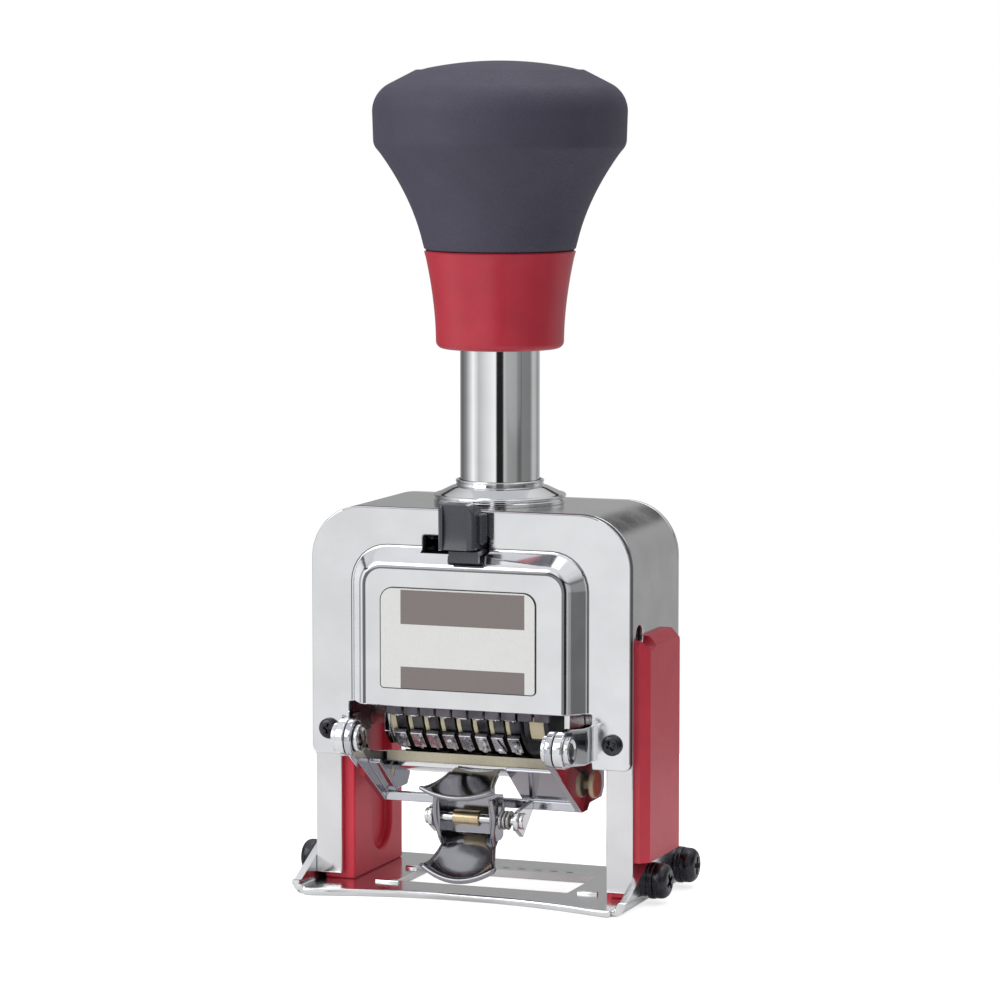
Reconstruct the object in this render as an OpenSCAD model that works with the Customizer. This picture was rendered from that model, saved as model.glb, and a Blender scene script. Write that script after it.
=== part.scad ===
// Automatic numbering machine: a sprung plunger carries a row of number wheels down through a
// window in the base, while the ink pad under them swings out of the way.
// X is across the machine, Y runs from front (-) to back (+), Z is up.
// Shapes are drawn about the stem's axis, then moved so that the origin is the middle of the footprint.

/* [Number wheels] */
// Distance from one number wheel to the next
wheel_pitch = 3.55; // [3.4:0.05:4]
// Width of a number wheel's rim
wheel_w = 2.3; // [2.2:0.05:2.6]
// Radius over the raised type
wheel_r = 14.2; // [13.6:0.1:14.6]
// Height of the raised type above the wheel's rim
type_h = 1.4; // [1:0.1:2]
// Width of a raised type face around the rim
type_w = 5; // [4:0.1:6]
// How far the wheels rest past a printing position, in degrees
type_phase = 12; // [0:1:18]
// Radius over the ratchet's teeth
ratchet_r = 12.6; // [11:0.1:12.6]
// Thickness of a ratchet
ratchet_t = 0.95; // [0.5:0.05:1]
// Radius of the shaft that the wheels turn on
shaft_r = 2.5; // [2:0.1:3.5]
// Distance of the wheel shaft in front of the stem
wheel_setback = 4; // [3:0.1:5]
// Thickness of the ring beside the first wheel
end_ring_t = 0.5; // [0.4:0.1:0.6]
// Radius of the ring beside the first wheel
end_ring_r = 12.4; // [11:0.1:12.4]
// Distance from the left plate to the first wheel's middle
first_wheel_x = 3.2; // [3.2:0.1:4.5]
// Thickness of the repeat disc beside the last wheel
repeat_disc_t = 5.5; // [4:0.1:6]
// Radius of the repeat disc
repeat_disc_r = 14; // [13:0.1:14.4]

/* [Plunger] */
// How far the plunger travels down
travel = 26.4; // [24:0.1:28]
// Radius of the stem
stem_r = 8.2; // [7.5:0.1:8.8]
// Wall of the stem's tube
stem_wall = 2; // [1.2:0.1:2.5]
// Thickness of the inner frame's plates
frame_plate_t = 1.4; // [1:0.1:1.8]
// Thickness of the inner frame's bridge
bridge_t = 3; // [2.4:0.1:4]
// Radius of the guide rollers
roller_r = 5.3; // [4.5:0.1:6]
// How deep the guide rollers run in their grooves
roller_depth = 1.5; // [1:0.1:2]
// Radius of a return spring, to the middle of its wire
spring_r = 1.9; // [1.6:0.05:2]
// Thickness of the return spring's wire
spring_wire = 0.7; // [0.5:0.05:0.8]
// Turns in a return spring
spring_turns = 11; // [8:1:14]

/* [Handle] */
// Height of the collar
collar_h = 20.2; // [16:0.1:24]
// Radius at the collar's lower end
collar_low_r = 13.2; // [12:0.1:14]
// Radius where collar and grip meet
joint_r = 15.6; // [14.5:0.1:16.5]
// Height of the grip
grip_h = 38.7; // [36:0.1:44]
// Largest radius of the grip
grip_r = 26.2; // [24.5:0.1:28]
// Radius of the disc let into the grip's top
grip_cap_r = 16.8; // [12:0.1:18]
// Thickness of that disc
grip_cap_t = 2.4; // [1.5:0.1:4]

/* [Case] */
// Height of the case above the surface it stands on
case_h = 80; // [78:0.5:88]
// Distance of the front plate's face before the stem
case_front = 18; // [17.5:0.1:20]
// Distance of the back plate's face behind the stem
case_back = 13.4; // [13.2:0.1:17]
// Radius of the case's upper corners
case_corner = 11; // [8:0.5:14]
// Wall of the case band
band_t = 1.3; // [1:0.1:1.6]
// Width of the band's inward flanges
flange_w = 5.7; // [4:0.1:7]
// Thickness of the front plate
front_plate_t = 1.8; // [1.2:0.1:2]
// Thickness of the back plate
back_plate_t = 1.3; // [1:0.1:1.8]
// Height of the plates' lower edge between the ears
opening_z = 39.5; // [38:0.5:42]
// Height of the ears' lower edge
ear_z = 28.3; // [26:0.1:31]
// Radius of the ears' small corners
ear_corner = 1.5; // [0.5:0.1:2.5]
// How far the raised front panel stands out
bulge_h = 3.6; // [3.2:0.1:5]
// Width of the raised panel's sloping edge
bulge_slope = 3.1; // [2:0.1:5]
// Gap between the case's top and the raised panel's foot
bulge_top_gap = 8; // [7:0.1:12]
// Radius of the raised panel's corners at its face
bulge_corner = 4.5; // [2:0.1:7]
// Sheet of the raised panel
bulge_wall = 1.1; // [0.8:0.1:1.4]
// Width of the name badge
badge_w = 33.8; // [28:0.2:38]
// Height of the name badge
badge_h = 20.9; // [12:0.1:21.5]
// Thickness of the name badge
badge_t = 0.3; // [0.2:0.1:0.8]
// How far the name badge sits left of the middle
badge_left = 1.1; // [0:0.1:2]

/* [Pad carrier] */
// Distance of the pad hinge before the front plate
pivot_reach = 9.3; // [9:0.1:10.5]
// Height of the pad hinge
pivot_z = 33.5; // [33:0.1:34.5]
// Radius of the round ends at the hinge
lobe_r = 3.8; // [3.2:0.1:4.5]
// Thickness of the pad carrier's arms
arm_t = 1.5; // [1:0.1:1.8]
// Thickness of the case's hinge lugs
lug_t = 1.9; // [1.4:0.1:2.2]
// Radius of the hinge rivets
rivet_r = 1.6; // [1.2:0.1:2]
// Thickness of the felt pad
felt_t = 1.8; // [1.6:0.1:2.6]
// Sheet of the pad tray
tray_t = 0.9; // [0.6:0.1:1.2]
// Height of the carrier's front bar
bar_h = 1.9; // [1.4:0.1:2.4]
// Radius of the carrier's side rollers
side_roller_r = 2.9; // [2.2:0.1:3.2]
// Radius of the clip's axle
axle_r = 1; // [0.8:0.1:1.2]
// Half the width of the clip lever inside its flanges
clip_half_w = 5.4; // [4.5:0.1:6]
// Sheet of the clip lever and the finger tab
clip_t = 1; // [0.7:0.1:1.2]
// Half the width of the clip's finger lips
lip_half_w = 8.2; // [7:0.1:9]
// Thickness of the clip spring's wire
clip_wire = 0.7; // [0.5:0.05:0.8]

/* [Base] */
// Sheet of the base plate
base_t = 1.6; // [1.2:0.1:2]
// Distance of the front corners before the stem
base_front = 26.5; // [25:0.1:30]
// How far the front edge bows inwards
base_bow = 5.2; // [2:0.1:6]
// Distance of the rear edge behind the stem
base_back = 16.7; // [15:0.1:22]
// Height of the base plate's side ears
side_ear_h = 8.65; // [8.5:0.05:10]
// Inner radius of the ears' bend
bend_r = 1.2; // [0.8:0.1:1.2]
// Length of the window that the wheels print through
window_back = 9.5; // [8:0.1:11]
// Distance of the window's front edge before the wheel shaft
window_front = 8.7; // [8:0.1:9.5]
// Thickness of the guide blocks, across the machine
block_t = 6.7; // [5.5:0.1:8]
// How far the side cover stands out
cover_t = 2.9; // [2.2:0.1:3]
// Height of the side cover's top
cover_z = 55; // [48:0.5:55]
// Radius of the base screws' heads
base_head_r = 3.6; // [3:0.1:3.6]
// Height of the base screws' heads
base_head_h = 2.9; // [1.5:0.1:3.2]
// Thickness of the washers under them
base_washer_t = 1.2; // [0.8:0.1:1.4]
// Radius of the small screws' heads
small_head_r = 2.2; // [1.8:0.1:2.5]

/* [Selector] */
// Width of the selector's finger knob
knob_w = 8; // [6:0.2:9]
// Height of the selector's finger knob
knob_h = 9.5; // [8:0.1:10]
// How far the selector slides
selector_travel = 6.8; // [4:0.1:7.2]
// Width of the selector's neck
neck_w = 6.4; // [3:0.1:7]

/* [Fits] */
// Radial clearance of turning and sliding fits
run_fit = 0.05; // [0.02:0.01:0.1]
// Radial clearance of fixed fits
fixed_fit = 0.02; // [0.01:0.01:0.05]
// Gap between flat faces that pass each other
side_gap = 0.3; // [0.2:0.05:0.4]

/* [Hidden] */
$fn = 64;
soft_fn = 32;
eps = 0.01;
wheel_count = 8;
digits = 10;
wheel_names = [for (i = [1:wheel_count]) str("number_wheel_", i)];
ratchet_names = [for (i = [1:wheel_count]) str("ratchet_", i)];

// Across the machine, from the middle outwards
wheels_gap = 1.3;
disc_spacer = 1.9;
frame_gap = first_wheel_x + wheel_pitch * (wheel_count - 1) + wheel_w / 2 + wheels_gap
    + repeat_disc_t + disc_spacer;
frame_in = frame_gap / 2;
frame_out = frame_in + frame_plate_t;
arm_in = frame_out + 0.5;
arm_out = arm_in + arm_t;
lug_in = arm_out + 0.2;
lug_out = lug_in + lug_t;
block_in = lug_out + 2.2;
band_in = block_in + block_t;
half_w = band_in + band_t;
ear_in_x = block_in - 0.2;
side_ear_out = half_w + base_t;

// Up the machine
print_gap = 0.1;
wheel_z = travel + wheel_r + print_gap;
wheel_y = -wheel_setback;
washer_h = 0.9;
flange_z = case_h + washer_h + 0.2;
flange_top_z = flange_z + 4.1;
collar_z = flange_top_z + travel + 0.2;
grip_z = collar_z + collar_h;
grip_top_z = grip_z + grip_h;
nut_h = 4.5;
nut_gap = 2.6;
stop_washer_h = 2.7;
bridge_top_z = wheel_z + wheel_r + nut_gap + nut_h + bridge_t;
bush_low_z = bridge_top_z + stop_washer_h + side_gap;
front_y = -case_front;
seat_y = front_y + front_plate_t;
back_y = case_back;
back_seat_y = back_y - back_plate_t;
pivot_y = front_y - pivot_reach;

// The row's origin: the middle of the footprint, between the hinge lobes and the grip's rear
stem_y = (lobe_r - pivot_y - grip_r) / 2;
module at_stem() {
    translate([0, stem_y, 0]) children();
}

// ---- Drawing helpers ----
// A front view in X and Z, with its back at back_y and its face t in front of that
module front_slab(slab_back, t) {
    translate([0, slab_back, 0]) rotate([90, 0, 0]) linear_extrude(t) children();
}
// A side view in Y and Z, from x0 to x0 + t
module side_slab(x0, t) {
    translate([x0, 0, 0]) rotate([90, 0, 90]) linear_extrude(t) children();
}
module x_rod(x0, length, r, y, z) {
    translate([x0, y, z]) rotate([0, 90, 0]) cylinder(h = length, r = r);
}
module both_sides() {
    children();
    mirror([1, 0, 0]) children();
}
// A rectangle from [x0, z0] to [x1, z1] with the given radius at its upper or at all corners
module soft_rect(x0, z0, x1, z1, r_top, r_low = 0) {
    union() {
        translate([x0 + r_top, z0 + r_low]) square([x1 - x0 - 2 * r_top, z1 - z0 - r_low]);
        translate([x0 + r_low, z0]) square([x1 - x0 - 2 * r_low, z1 - z0 - r_top]);
        translate([x0, z0 + r_low]) square([x1 - x0, z1 - z0 - r_top - r_low]);
        for (x = [x0 + r_top, x1 - r_top]) translate([x, z1 - r_top]) circle(r_top);
        if (r_low > 0)
            for (x = [x0 + r_low, x1 - r_low]) translate([x, z0 + r_low]) circle(r_low);
    }
}
function arc(c, r, a0, a1, n) =
    [for (i = [0:n]) c + r * [cos(a0 + (a1 - a0) * i / n), sin(a0 + (a1 - a0) * i / n)]];
// A pan head screw along +Z: the head's seat is at z = 0
module pan_screw(head_r, head_h, shank_r, shank_l) {
    recess_w = head_r * 0.28;
    recess_d = head_h * 0.6;
    difference() {
        union() {
            rotate_extrude() polygon(concat(
                [[0, 0], [head_r, 0], [head_r, head_h * 0.3]],
                [for (i = [1:5]) [head_r * cos(i * 18), head_h * (0.3 + 0.7 * sin(i * 18))]]
            ));
            translate([0, 0, -shank_l]) cylinder(h = shank_l + eps, r = shank_r);
        }
        for (turn = [0, 90]) rotate(turn)
            translate([-head_r * 0.6, -recess_w / 2, head_h - recess_d])
                cube([head_r * 1.2, recess_w, head_h]);
    }
}
// One tube with round wire along a list of points, as a closed mesh
module wire_tube(path, r, sides = 8) {
    last = len(path) - 1;
    function way(i) = let (d = path[min(i + 1, last)] - path[max(i - 1, 0)]) d / norm(d);
    function side(t) = let (s = cross(t, abs(t.x) > 0.9 ? [0, 1, 0] : [1, 0, 0])) s / norm(s);
    function ring(i) = let (t = way(i), s = side(t), u = cross(t, s))
        [for (k = [0:sides - 1]) path[i] + r * (s * cos(k * 360 / sides) + u * sin(k * 360 / sides))];
    polyhedron(
        points = [for (i = [0:last]) each ring(i)],
        faces = concat(
            [[for (k = [0:sides - 1]) sides - 1 - k]],
            [for (i = [0:last - 1]) for (k = [0:sides - 1])
                [i * sides + k, i * sides + (k + 1) % sides,
                 (i + 1) * sides + (k + 1) % sides, (i + 1) * sides + k]],
            [[for (k = [0:sides - 1]) last * sides + k]]
        )
    );
}

// ---- Base ----
plate_half = half_w - bend_r;
bend_z = base_t + bend_r;
window_left = -frame_in + 0.8;
window_right = frame_in + 0.5;
window_front_y = wheel_y - window_front;
window_back_y = wheel_y + window_back;
bow_half = plate_half - 3;
bow_r = (bow_half * bow_half + base_bow * base_bow) / (2 * base_bow);
base_hole_ys = [-9, 9];
base_hole_z = 4.7;
base_shank_r = 1.7;
rib_r = 0.5;
module side_ear_outline() {
    polygon(concat(
        [[-base_front + 1.7, bend_z - 0.3], [-11.5, side_ear_h], [9, side_ear_h]],
        [[base_back + 3.4, 6]],
        arc([base_back + 3, 3.3], 2.2, 50, -90, 8)
    ));
}
module base_plate() {
    color("silver") at_stem() difference() {
        union() {
            difference() {
                translate([-plate_half, -base_front, 0])
                    cube([2 * plate_half, base_front + base_back, base_t]);
                translate([0, -base_front + base_bow - bow_r, -1]) cylinder(h = base_t + 2, r = bow_r, $fn = 180);
                translate([window_left, window_front_y, -1])
                    cube([window_right - window_left, window_back_y - window_front_y, base_t + 2]);
            }
            both_sides() {
                intersection() {
                    translate([plate_half, -base_front + 1, bend_z]) rotate([-90, 0, 0]) difference() {
                        cylinder(h = base_front + base_back - 1, r = bend_r + base_t);
                        translate([0, 0, -1]) cylinder(h = base_front + base_back + 2, r = bend_r);
                    }
                    translate([plate_half - eps, -base_front, -1])
                        cube([bend_r + base_t + 1, base_front + base_back, bend_z + 1]);
                }
                intersection() {
                    side_slab(half_w, base_t) side_ear_outline();
                    translate([half_w, -base_front, bend_z - eps]) cube([base_t, 60, 20]);
                }
                intersection() {
                    side_slab(half_w, base_t) side_ear_outline();
                    translate([half_w, base_back - eps, 0]) cube([base_t, 20, bend_z + 1]);
                }
            }
            // Short ribs beside the window that line up a sheet of paper: left edge, length, place
            for (rib = [[window_left - 3.5, 5, -15.3], [window_left - 2.9, 2.6, 0], [window_right + 2.2, 4.2, -12.4]])
                x_rod(rib[0], rib[1], rib_r, rib[2], base_t + rib_r * 0.3);
        }
        both_sides() for (y = base_hole_ys)
            x_rod(half_w - 1, base_t + 2, base_shank_r + fixed_fit, y, base_hole_z);
        // One short mark behind each wheel
        for (i = [1:wheel_count])
            translate([-frame_in + first_wheel_x + i * wheel_pitch - 0.75, window_back_y + 1.8, base_t - 0.3])
                cube([1.5, 0.7, 1]);
    }
}
module base_washers() {
    color("#202124") at_stem() both_sides() for (y = base_hole_ys) difference() {
        x_rod(side_ear_out, base_washer_t, base_head_r + 0.15, y, base_hole_z);
        x_rod(side_ear_out - 1, base_washer_t + 2, base_shank_r + fixed_fit, y, base_hole_z);
    }
}
module base_screws() {
    color("#202124") at_stem() both_sides() for (y = base_hole_ys)
        translate([side_ear_out + base_washer_t, y, base_hole_z]) rotate([0, 90, 0])
            pan_screw(base_head_r, base_head_h, base_shank_r, base_washer_t + base_t + band_t + 3);
}

// ---- Case ----
plate_screw_x = ear_in_x + 4.4;
plate_screw_z = ear_z + 5.3;
small_shank_r = 1.3;
bush_r = stem_r + 2.2;
leg_z = bend_z + 0.1;
side_screw_y = -12.2;
side_screw_z = cover_z;
side_hole_r = small_head_r + 0.15;
side_head_h = 1;
side_seat_x = band_in - 0.6;
module band_outline(inset, low) {
    soft_rect(-half_w + inset, low, half_w - inset, case_h - inset, case_corner - inset);
}
module case_band() {
    color("silver") at_stem() difference() {
        front_slab(back_seat_y, back_seat_y - seat_y) band_outline(0, leg_z);
        front_slab(back_seat_y - band_t, back_seat_y - seat_y - 2 * band_t) band_outline(band_t, 0);
        front_slab(back_seat_y + 1, back_seat_y - seat_y + 2) band_outline(flange_w, 0);
        translate([0, 0, case_h - band_t - 1]) cylinder(h = band_t + 2, r = bush_r + side_gap);
        both_sides() {
            for (y = base_hole_ys)
                x_rod(band_in - 1, band_t + 2, base_shank_r + fixed_fit, y, base_hole_z);
            x_rod(band_in - 1, band_t + 2, side_hole_r, side_screw_y, side_screw_z);
            translate([plate_screw_x, seat_y - 1, plate_screw_z]) rotate([-90, 0, 0])
                cylinder(h = back_seat_y - seat_y + 2, r = small_shank_r + fixed_fit);
        }
    }
}
module plate_outline() {
    difference() {
        soft_rect(-half_w, ear_z, half_w, case_h, case_corner, ear_corner);
        translate([-ear_in_x, ear_z - 1]) square([2 * ear_in_x, opening_z - ear_z + 1]);
    }
}
module plate_screw_holes() {
    both_sides() translate([plate_screw_x, -50, plate_screw_z]) rotate([-90, 0, 0])
        cylinder(h = 100, r = small_shank_r + fixed_fit);
}
rivet_head_r = rivet_r + 1.3;
bulge_foot = ear_in_x - 1;
bulge_face = bulge_foot - bulge_slope;
bulge_top = case_h - bulge_top_gap;
bulge_face_y = front_y - bulge_h;
module bulge_solid(inset) {
    low = opening_z - (inset > 0 ? 2 : 0);
    hull() {
        front_slab(front_y + 0.4 + inset, 0.4)
            soft_rect(-bulge_foot + inset, low, bulge_foot - inset, bulge_top - inset,
                bulge_corner + bulge_slope - inset, $fn = soft_fn);
        front_slab(bulge_face_y + 0.4 + inset, 0.4)
            soft_rect(-bulge_face + inset, low, bulge_face - inset, bulge_top - bulge_slope - inset,
                bulge_corner - inset, $fn = soft_fn);
    }
}
slot_z = bulge_top - 1;
slot_h = 3.5;
knob_x = 0.6;
neck_play = 0.6;
module front_plate() {
    lug_jog = ear_in_x - lug_out + 0.2;
    jog_y = pivot_y + rivet_head_r + 0.3;
    color("silver") at_stem() difference() {
        union() {
            difference() {
                union() {
                    front_slab(seat_y, front_plate_t) plate_outline();
                    bulge_solid(0);
                }
                bulge_solid(bulge_wall);
                translate([-bulge_foot + bulge_wall, front_y - 0.4, opening_z - 2])
                    cube([2 * (bulge_foot - bulge_wall), front_plate_t + 1,
                        bulge_top - bulge_wall - bulge_corner - bulge_slope - opening_z + 2]);
            }
            // Hinge lugs, bent forward from the ears' inner edges and stepped inwards
            both_sides() intersection() {
                translate([0, 0, ear_z]) linear_extrude(12) polygon([
                    [ear_in_x + 0.4, seat_y], [ear_in_x + 0.4, front_y], [ear_in_x, front_y],
                    [ear_in_x, jog_y + lug_jog], [lug_out, jog_y],
                    [lug_out, pivot_y - lobe_r - 1], [lug_in, pivot_y - lobe_r - 1],
                    [lug_in, jog_y + 0.8], [ear_in_x - lug_t, jog_y + lug_jog + 0.8],
                    [ear_in_x - lug_t, seat_y]
                ]);
                side_slab(0, half_w) union() {
                    translate([pivot_y, pivot_z]) circle(lobe_r);
                    translate([pivot_y, pivot_z - lobe_r]) square([-pivot_y + seat_y, 2 * lobe_r]);
                }
            }
        }
        plate_screw_holes();
        both_sides() x_rod(lug_in - 1, lug_t + 2, rivet_r + fixed_fit, pivot_y, pivot_z);
        translate([knob_x - selector_travel - neck_w / 2 - neck_play, bulge_face_y - 1, slot_z])
            cube([selector_travel + neck_w + 2 * neck_play, case_front, slot_h]);
    }
}
module back_plate() {
    color("silver") at_stem() difference() {
        front_slab(back_y, back_plate_t) plate_outline();
        plate_screw_holes();
    }
}
badge_z = (opening_z + bulge_top - bulge_slope - badge_h) / 2 - 0.5;
module name_badge() {
    color("white") at_stem() front_slab(bulge_face_y, badge_t)
        soft_rect(-badge_w / 2 - badge_left, badge_z, badge_w / 2 - badge_left, badge_z + badge_h, 2.8, 0.9);
}
module plate_screws() {
    color("#202124") at_stem() both_sides() {
        translate([plate_screw_x, front_y, plate_screw_z]) rotate([90, 0, 0])
            pan_screw(small_head_r, 1.2, small_shank_r, front_plate_t + band_t);
        translate([plate_screw_x, back_y, plate_screw_z]) rotate([-90, 0, 0])
            pan_screw(small_head_r, 1.2, small_shank_r, back_plate_t + band_t);
    }
}
// These sit down in the band's holes and hold the red blocks
module side_screws() {
    color("#202124") at_stem() both_sides()
        translate([side_seat_x, side_screw_y, side_screw_z]) rotate([0, 90, 0])
            pan_screw(small_head_r, side_head_h, small_shank_r, 2.5);
}
module hinge_rivets() {
    color("silver") at_stem() both_sides() {
        x_rod(arm_in - 1.1, 0.9, rivet_head_r, pivot_y, pivot_z);
        x_rod(arm_in - 0.9, lug_out - arm_in + 1.2, rivet_r, pivot_y, pivot_z);
        x_rod(lug_out, 1.1, rivet_head_r, pivot_y, pivot_z);
    }
}
// Red blocks inside the legs: each has a round-ended groove that guides the plunger
groove_half = roller_r + 0.2;
roller_y = 0.3;
roller_z = bend_z + 2.6 + groove_half + travel + 0.2;
block_top_z = 60;
module guide_block() {
    difference() {
        union() {
            translate([block_in, seat_y + band_t + 0.2, base_t])
                cube([band_in - block_in, back_seat_y - seat_y - 2 * band_t - 0.4, block_top_z - base_t]);
            translate([block_in, 0, base_t])
                cube([half_w - flange_w - block_in - 0.1, back_seat_y - 0.2, block_top_z - base_t]);
        }
        translate([block_in - 1, roller_y - groove_half, roller_z - travel - 0.2])
            cube([roller_depth + 1.2, 2 * groove_half, block_top_z]);
        x_rod(block_in - 1, roller_depth + 1.2, groove_half, roller_y, roller_z - travel - 0.2);
        for (y = base_hole_ys)
            x_rod(band_in - 3.2, 4, base_shank_r + fixed_fit, y, base_hole_z);
        x_rod(side_seat_x - 2.6, 4, small_shank_r + fixed_fit, side_screw_y, side_screw_z);
        x_rod(side_seat_x, 2, small_head_r + fixed_fit, side_screw_y, side_screw_z);
    }
}
module left_guide_block() {
    color("crimson") at_stem() mirror([1, 0, 0]) guide_block();
}
// The right block is cut back at its inner front corner
module right_guide_block() {
    color("crimson") at_stem() difference() {
        guide_block();
        translate([block_in - 1, seat_y, 0]) cube([3.6, -9.2 - seat_y, case_h]);
    }
}
cover_front_y = front_y + 2.6;
cover_back_y = back_y - 6.6;
module cover_outline(inset) {
    low = side_ear_h + 0.6;
    polygon([
        [cover_front_y + inset, low], [cover_front_y + 2.2 + inset, cover_z - 1.4 - inset],
        [cover_front_y + 3.4 + inset, cover_z - inset], [cover_back_y - 4.2 - inset, cover_z - inset],
        [cover_back_y - 1.2 - inset, cover_z - 1.6 - inset], [cover_back_y - 0.2 - inset, cover_z - 4 - inset],
        [cover_back_y - inset, low]
    ]);
}
module side_cover() {
    bevel = 1.7;
    color("crimson") at_stem() difference() {
        hull() {
            side_slab(half_w, cover_t - bevel) cover_outline(0);
            side_slab(half_w, cover_t) cover_outline(bevel);
        }
        // Notch round the side screw
        x_rod(half_w - 1, cover_t + 2, side_hole_r + 0.6, side_screw_y, side_screw_z);
    }
}
module guide_bush() {
    color("silver") at_stem() difference() {
        union() {
            translate([0, 0, bush_low_z]) cylinder(h = case_h - bush_low_z, r = bush_r);
            // Its flange is cut straight to clear the band's inward flanges
            intersection() {
                translate([0, 0, case_h - band_t - 3]) cylinder(h = 3, r = bush_r + 2.4);
                translate([-half_w, seat_y + band_t + side_gap, 0])
                    cube([2 * half_w, back_seat_y - seat_y - 2 * (band_t + side_gap), case_h]);
            }
        }
        translate([0, 0, bush_low_z - 1]) cylinder(h = case_h, r = stem_r + run_fit);
    }
}
washer_r = stem_r + 5.5;
module flange_washer() {
    color("silver") at_stem() translate([0, 0, case_h]) difference() {
        cylinder(h = washer_h, r = washer_r);
        translate([0, 0, -1]) cylinder(h = washer_h + 2, r = stem_r + side_gap);
    }
}
module flange_nut() {
    color("silver") at_stem() difference() {
        rotate_extrude() polygon([
            [0, case_h + washer_h], [washer_r - 0.8, case_h + washer_h], [washer_r - 0.8, flange_z],
            [washer_r, flange_z], [washer_r, flange_z + 0.8], [washer_r - 0.6, flange_z + 1.1],
            [stem_r + 1.6, flange_z + 2.6], [stem_r + 1, flange_z + 3.2],
            [stem_r + 1, flange_top_z - 0.3], [stem_r + 0.7, flange_top_z], [0, flange_top_z]
        ]);
        translate([0, 0, case_h]) cylinder(h = flange_top_z, r = stem_r + side_gap);
    }
}

// ---- Handle and stem ----
stem_top_z = grip_z + grip_h * 0.5;
spigot_r = 4.5;
spigot_low_z = bridge_top_z - bridge_t - nut_h - 0.5;
// The grip flares out from the joint, turns over a small edge and rounds in at the shoulder
flare_h = grip_h * 0.506;
edge_r = grip_r * 0.115;
shoulder_r = grip_r * 0.244;
shoulder_z = grip_z + grip_h * 0.731;
cap_dome = grip_cap_r * 0.113;
// Radius of the flare at the share s of its height
function flare(s) = joint_r + (grip_r - joint_r) * (0.35 * s + 0.483 * s * s);
cap_edge_z = grip_top_z - cap_dome;
module grip() {
    color("#3f454f") at_stem() difference() {
        rotate_extrude() polygon(concat(
            [[0, grip_z]],
            [for (i = [0:8]) [flare(i / 8), grip_z + flare_h * i / 8]],
            arc([grip_r - edge_r - 0.2, grip_z + flare_h + edge_r], edge_r, -35, 0, 4),
            arc([grip_r - shoulder_r, shoulder_z], shoulder_r, 0, 62, 6),
            [[grip_cap_r, cap_edge_z], [0, cap_edge_z]]
        ));
        translate([0, 0, grip_z - 1]) cylinder(h = stem_top_z - grip_z + 1, r = stem_r + fixed_fit);
        translate([0, 0, cap_edge_z - grip_cap_t]) cylinder(h = 10, r = grip_cap_r);
    }
}
module grip_cap() {
    dome_r = (grip_cap_r * grip_cap_r + cap_dome * cap_dome) / (2 * cap_dome);
    half_angle = asin(grip_cap_r / dome_r);
    color("#3f454f") at_stem() rotate_extrude() polygon(concat(
        [[0, cap_edge_z - grip_cap_t], [grip_cap_r - 0.1, cap_edge_z - grip_cap_t]],
        [for (i = [1:8]) let (a = half_angle * (8 - i) / 8)
            [min(dome_r * sin(a), grip_cap_r - 0.1), grip_top_z - dome_r * (1 - cos(a))]]
    ));
}
module collar() {
    lip = 1.2;
    color("crimson") at_stem() difference() {
        rotate_extrude() polygon(concat(
            [[0, collar_z], [collar_low_r - lip, collar_z]],
            arc([collar_low_r - lip, collar_z + lip], lip, -60, 0, 3),
            [for (i = [1:8]) let (s = i / 8)
                [collar_low_r + (joint_r - collar_low_r) * s * s, collar_z + lip + (collar_h - lip) * s]],
            [[0, grip_z]]
        ));
        translate([0, 0, collar_z - 1]) cylinder(h = collar_h + 2, r = stem_r + fixed_fit);
    }
}
module stem() {
    color("silver") at_stem() difference() {
        union() {
            translate([0, 0, bridge_top_z]) cylinder(h = stem_top_z - bridge_top_z, r = stem_r);
            translate([0, 0, spigot_low_z]) cylinder(h = bridge_top_z - spigot_low_z + eps, r = spigot_r);
        }
        translate([0, 0, bridge_top_z + 5]) cylinder(h = stem_top_z, r = stem_r - stem_wall);
    }
}
module stem_nut() {
    color("silver") at_stem() translate([0, 0, bridge_top_z - bridge_t - nut_h]) difference() {
        cylinder(h = nut_h, r = spigot_r + 3.2, $fn = 6);
        translate([0, 0, -1]) cylinder(h = nut_h + 2, r = spigot_r + fixed_fit);
    }
}
module stop_washer() {
    color("#202124") at_stem() translate([0, 0, bridge_top_z]) difference() {
        cylinder(h = stop_washer_h, r = bush_r);
        translate([0, 0, -1]) cylinder(h = stop_washer_h + 2, r = stem_r + fixed_fit);
    }
}

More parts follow.
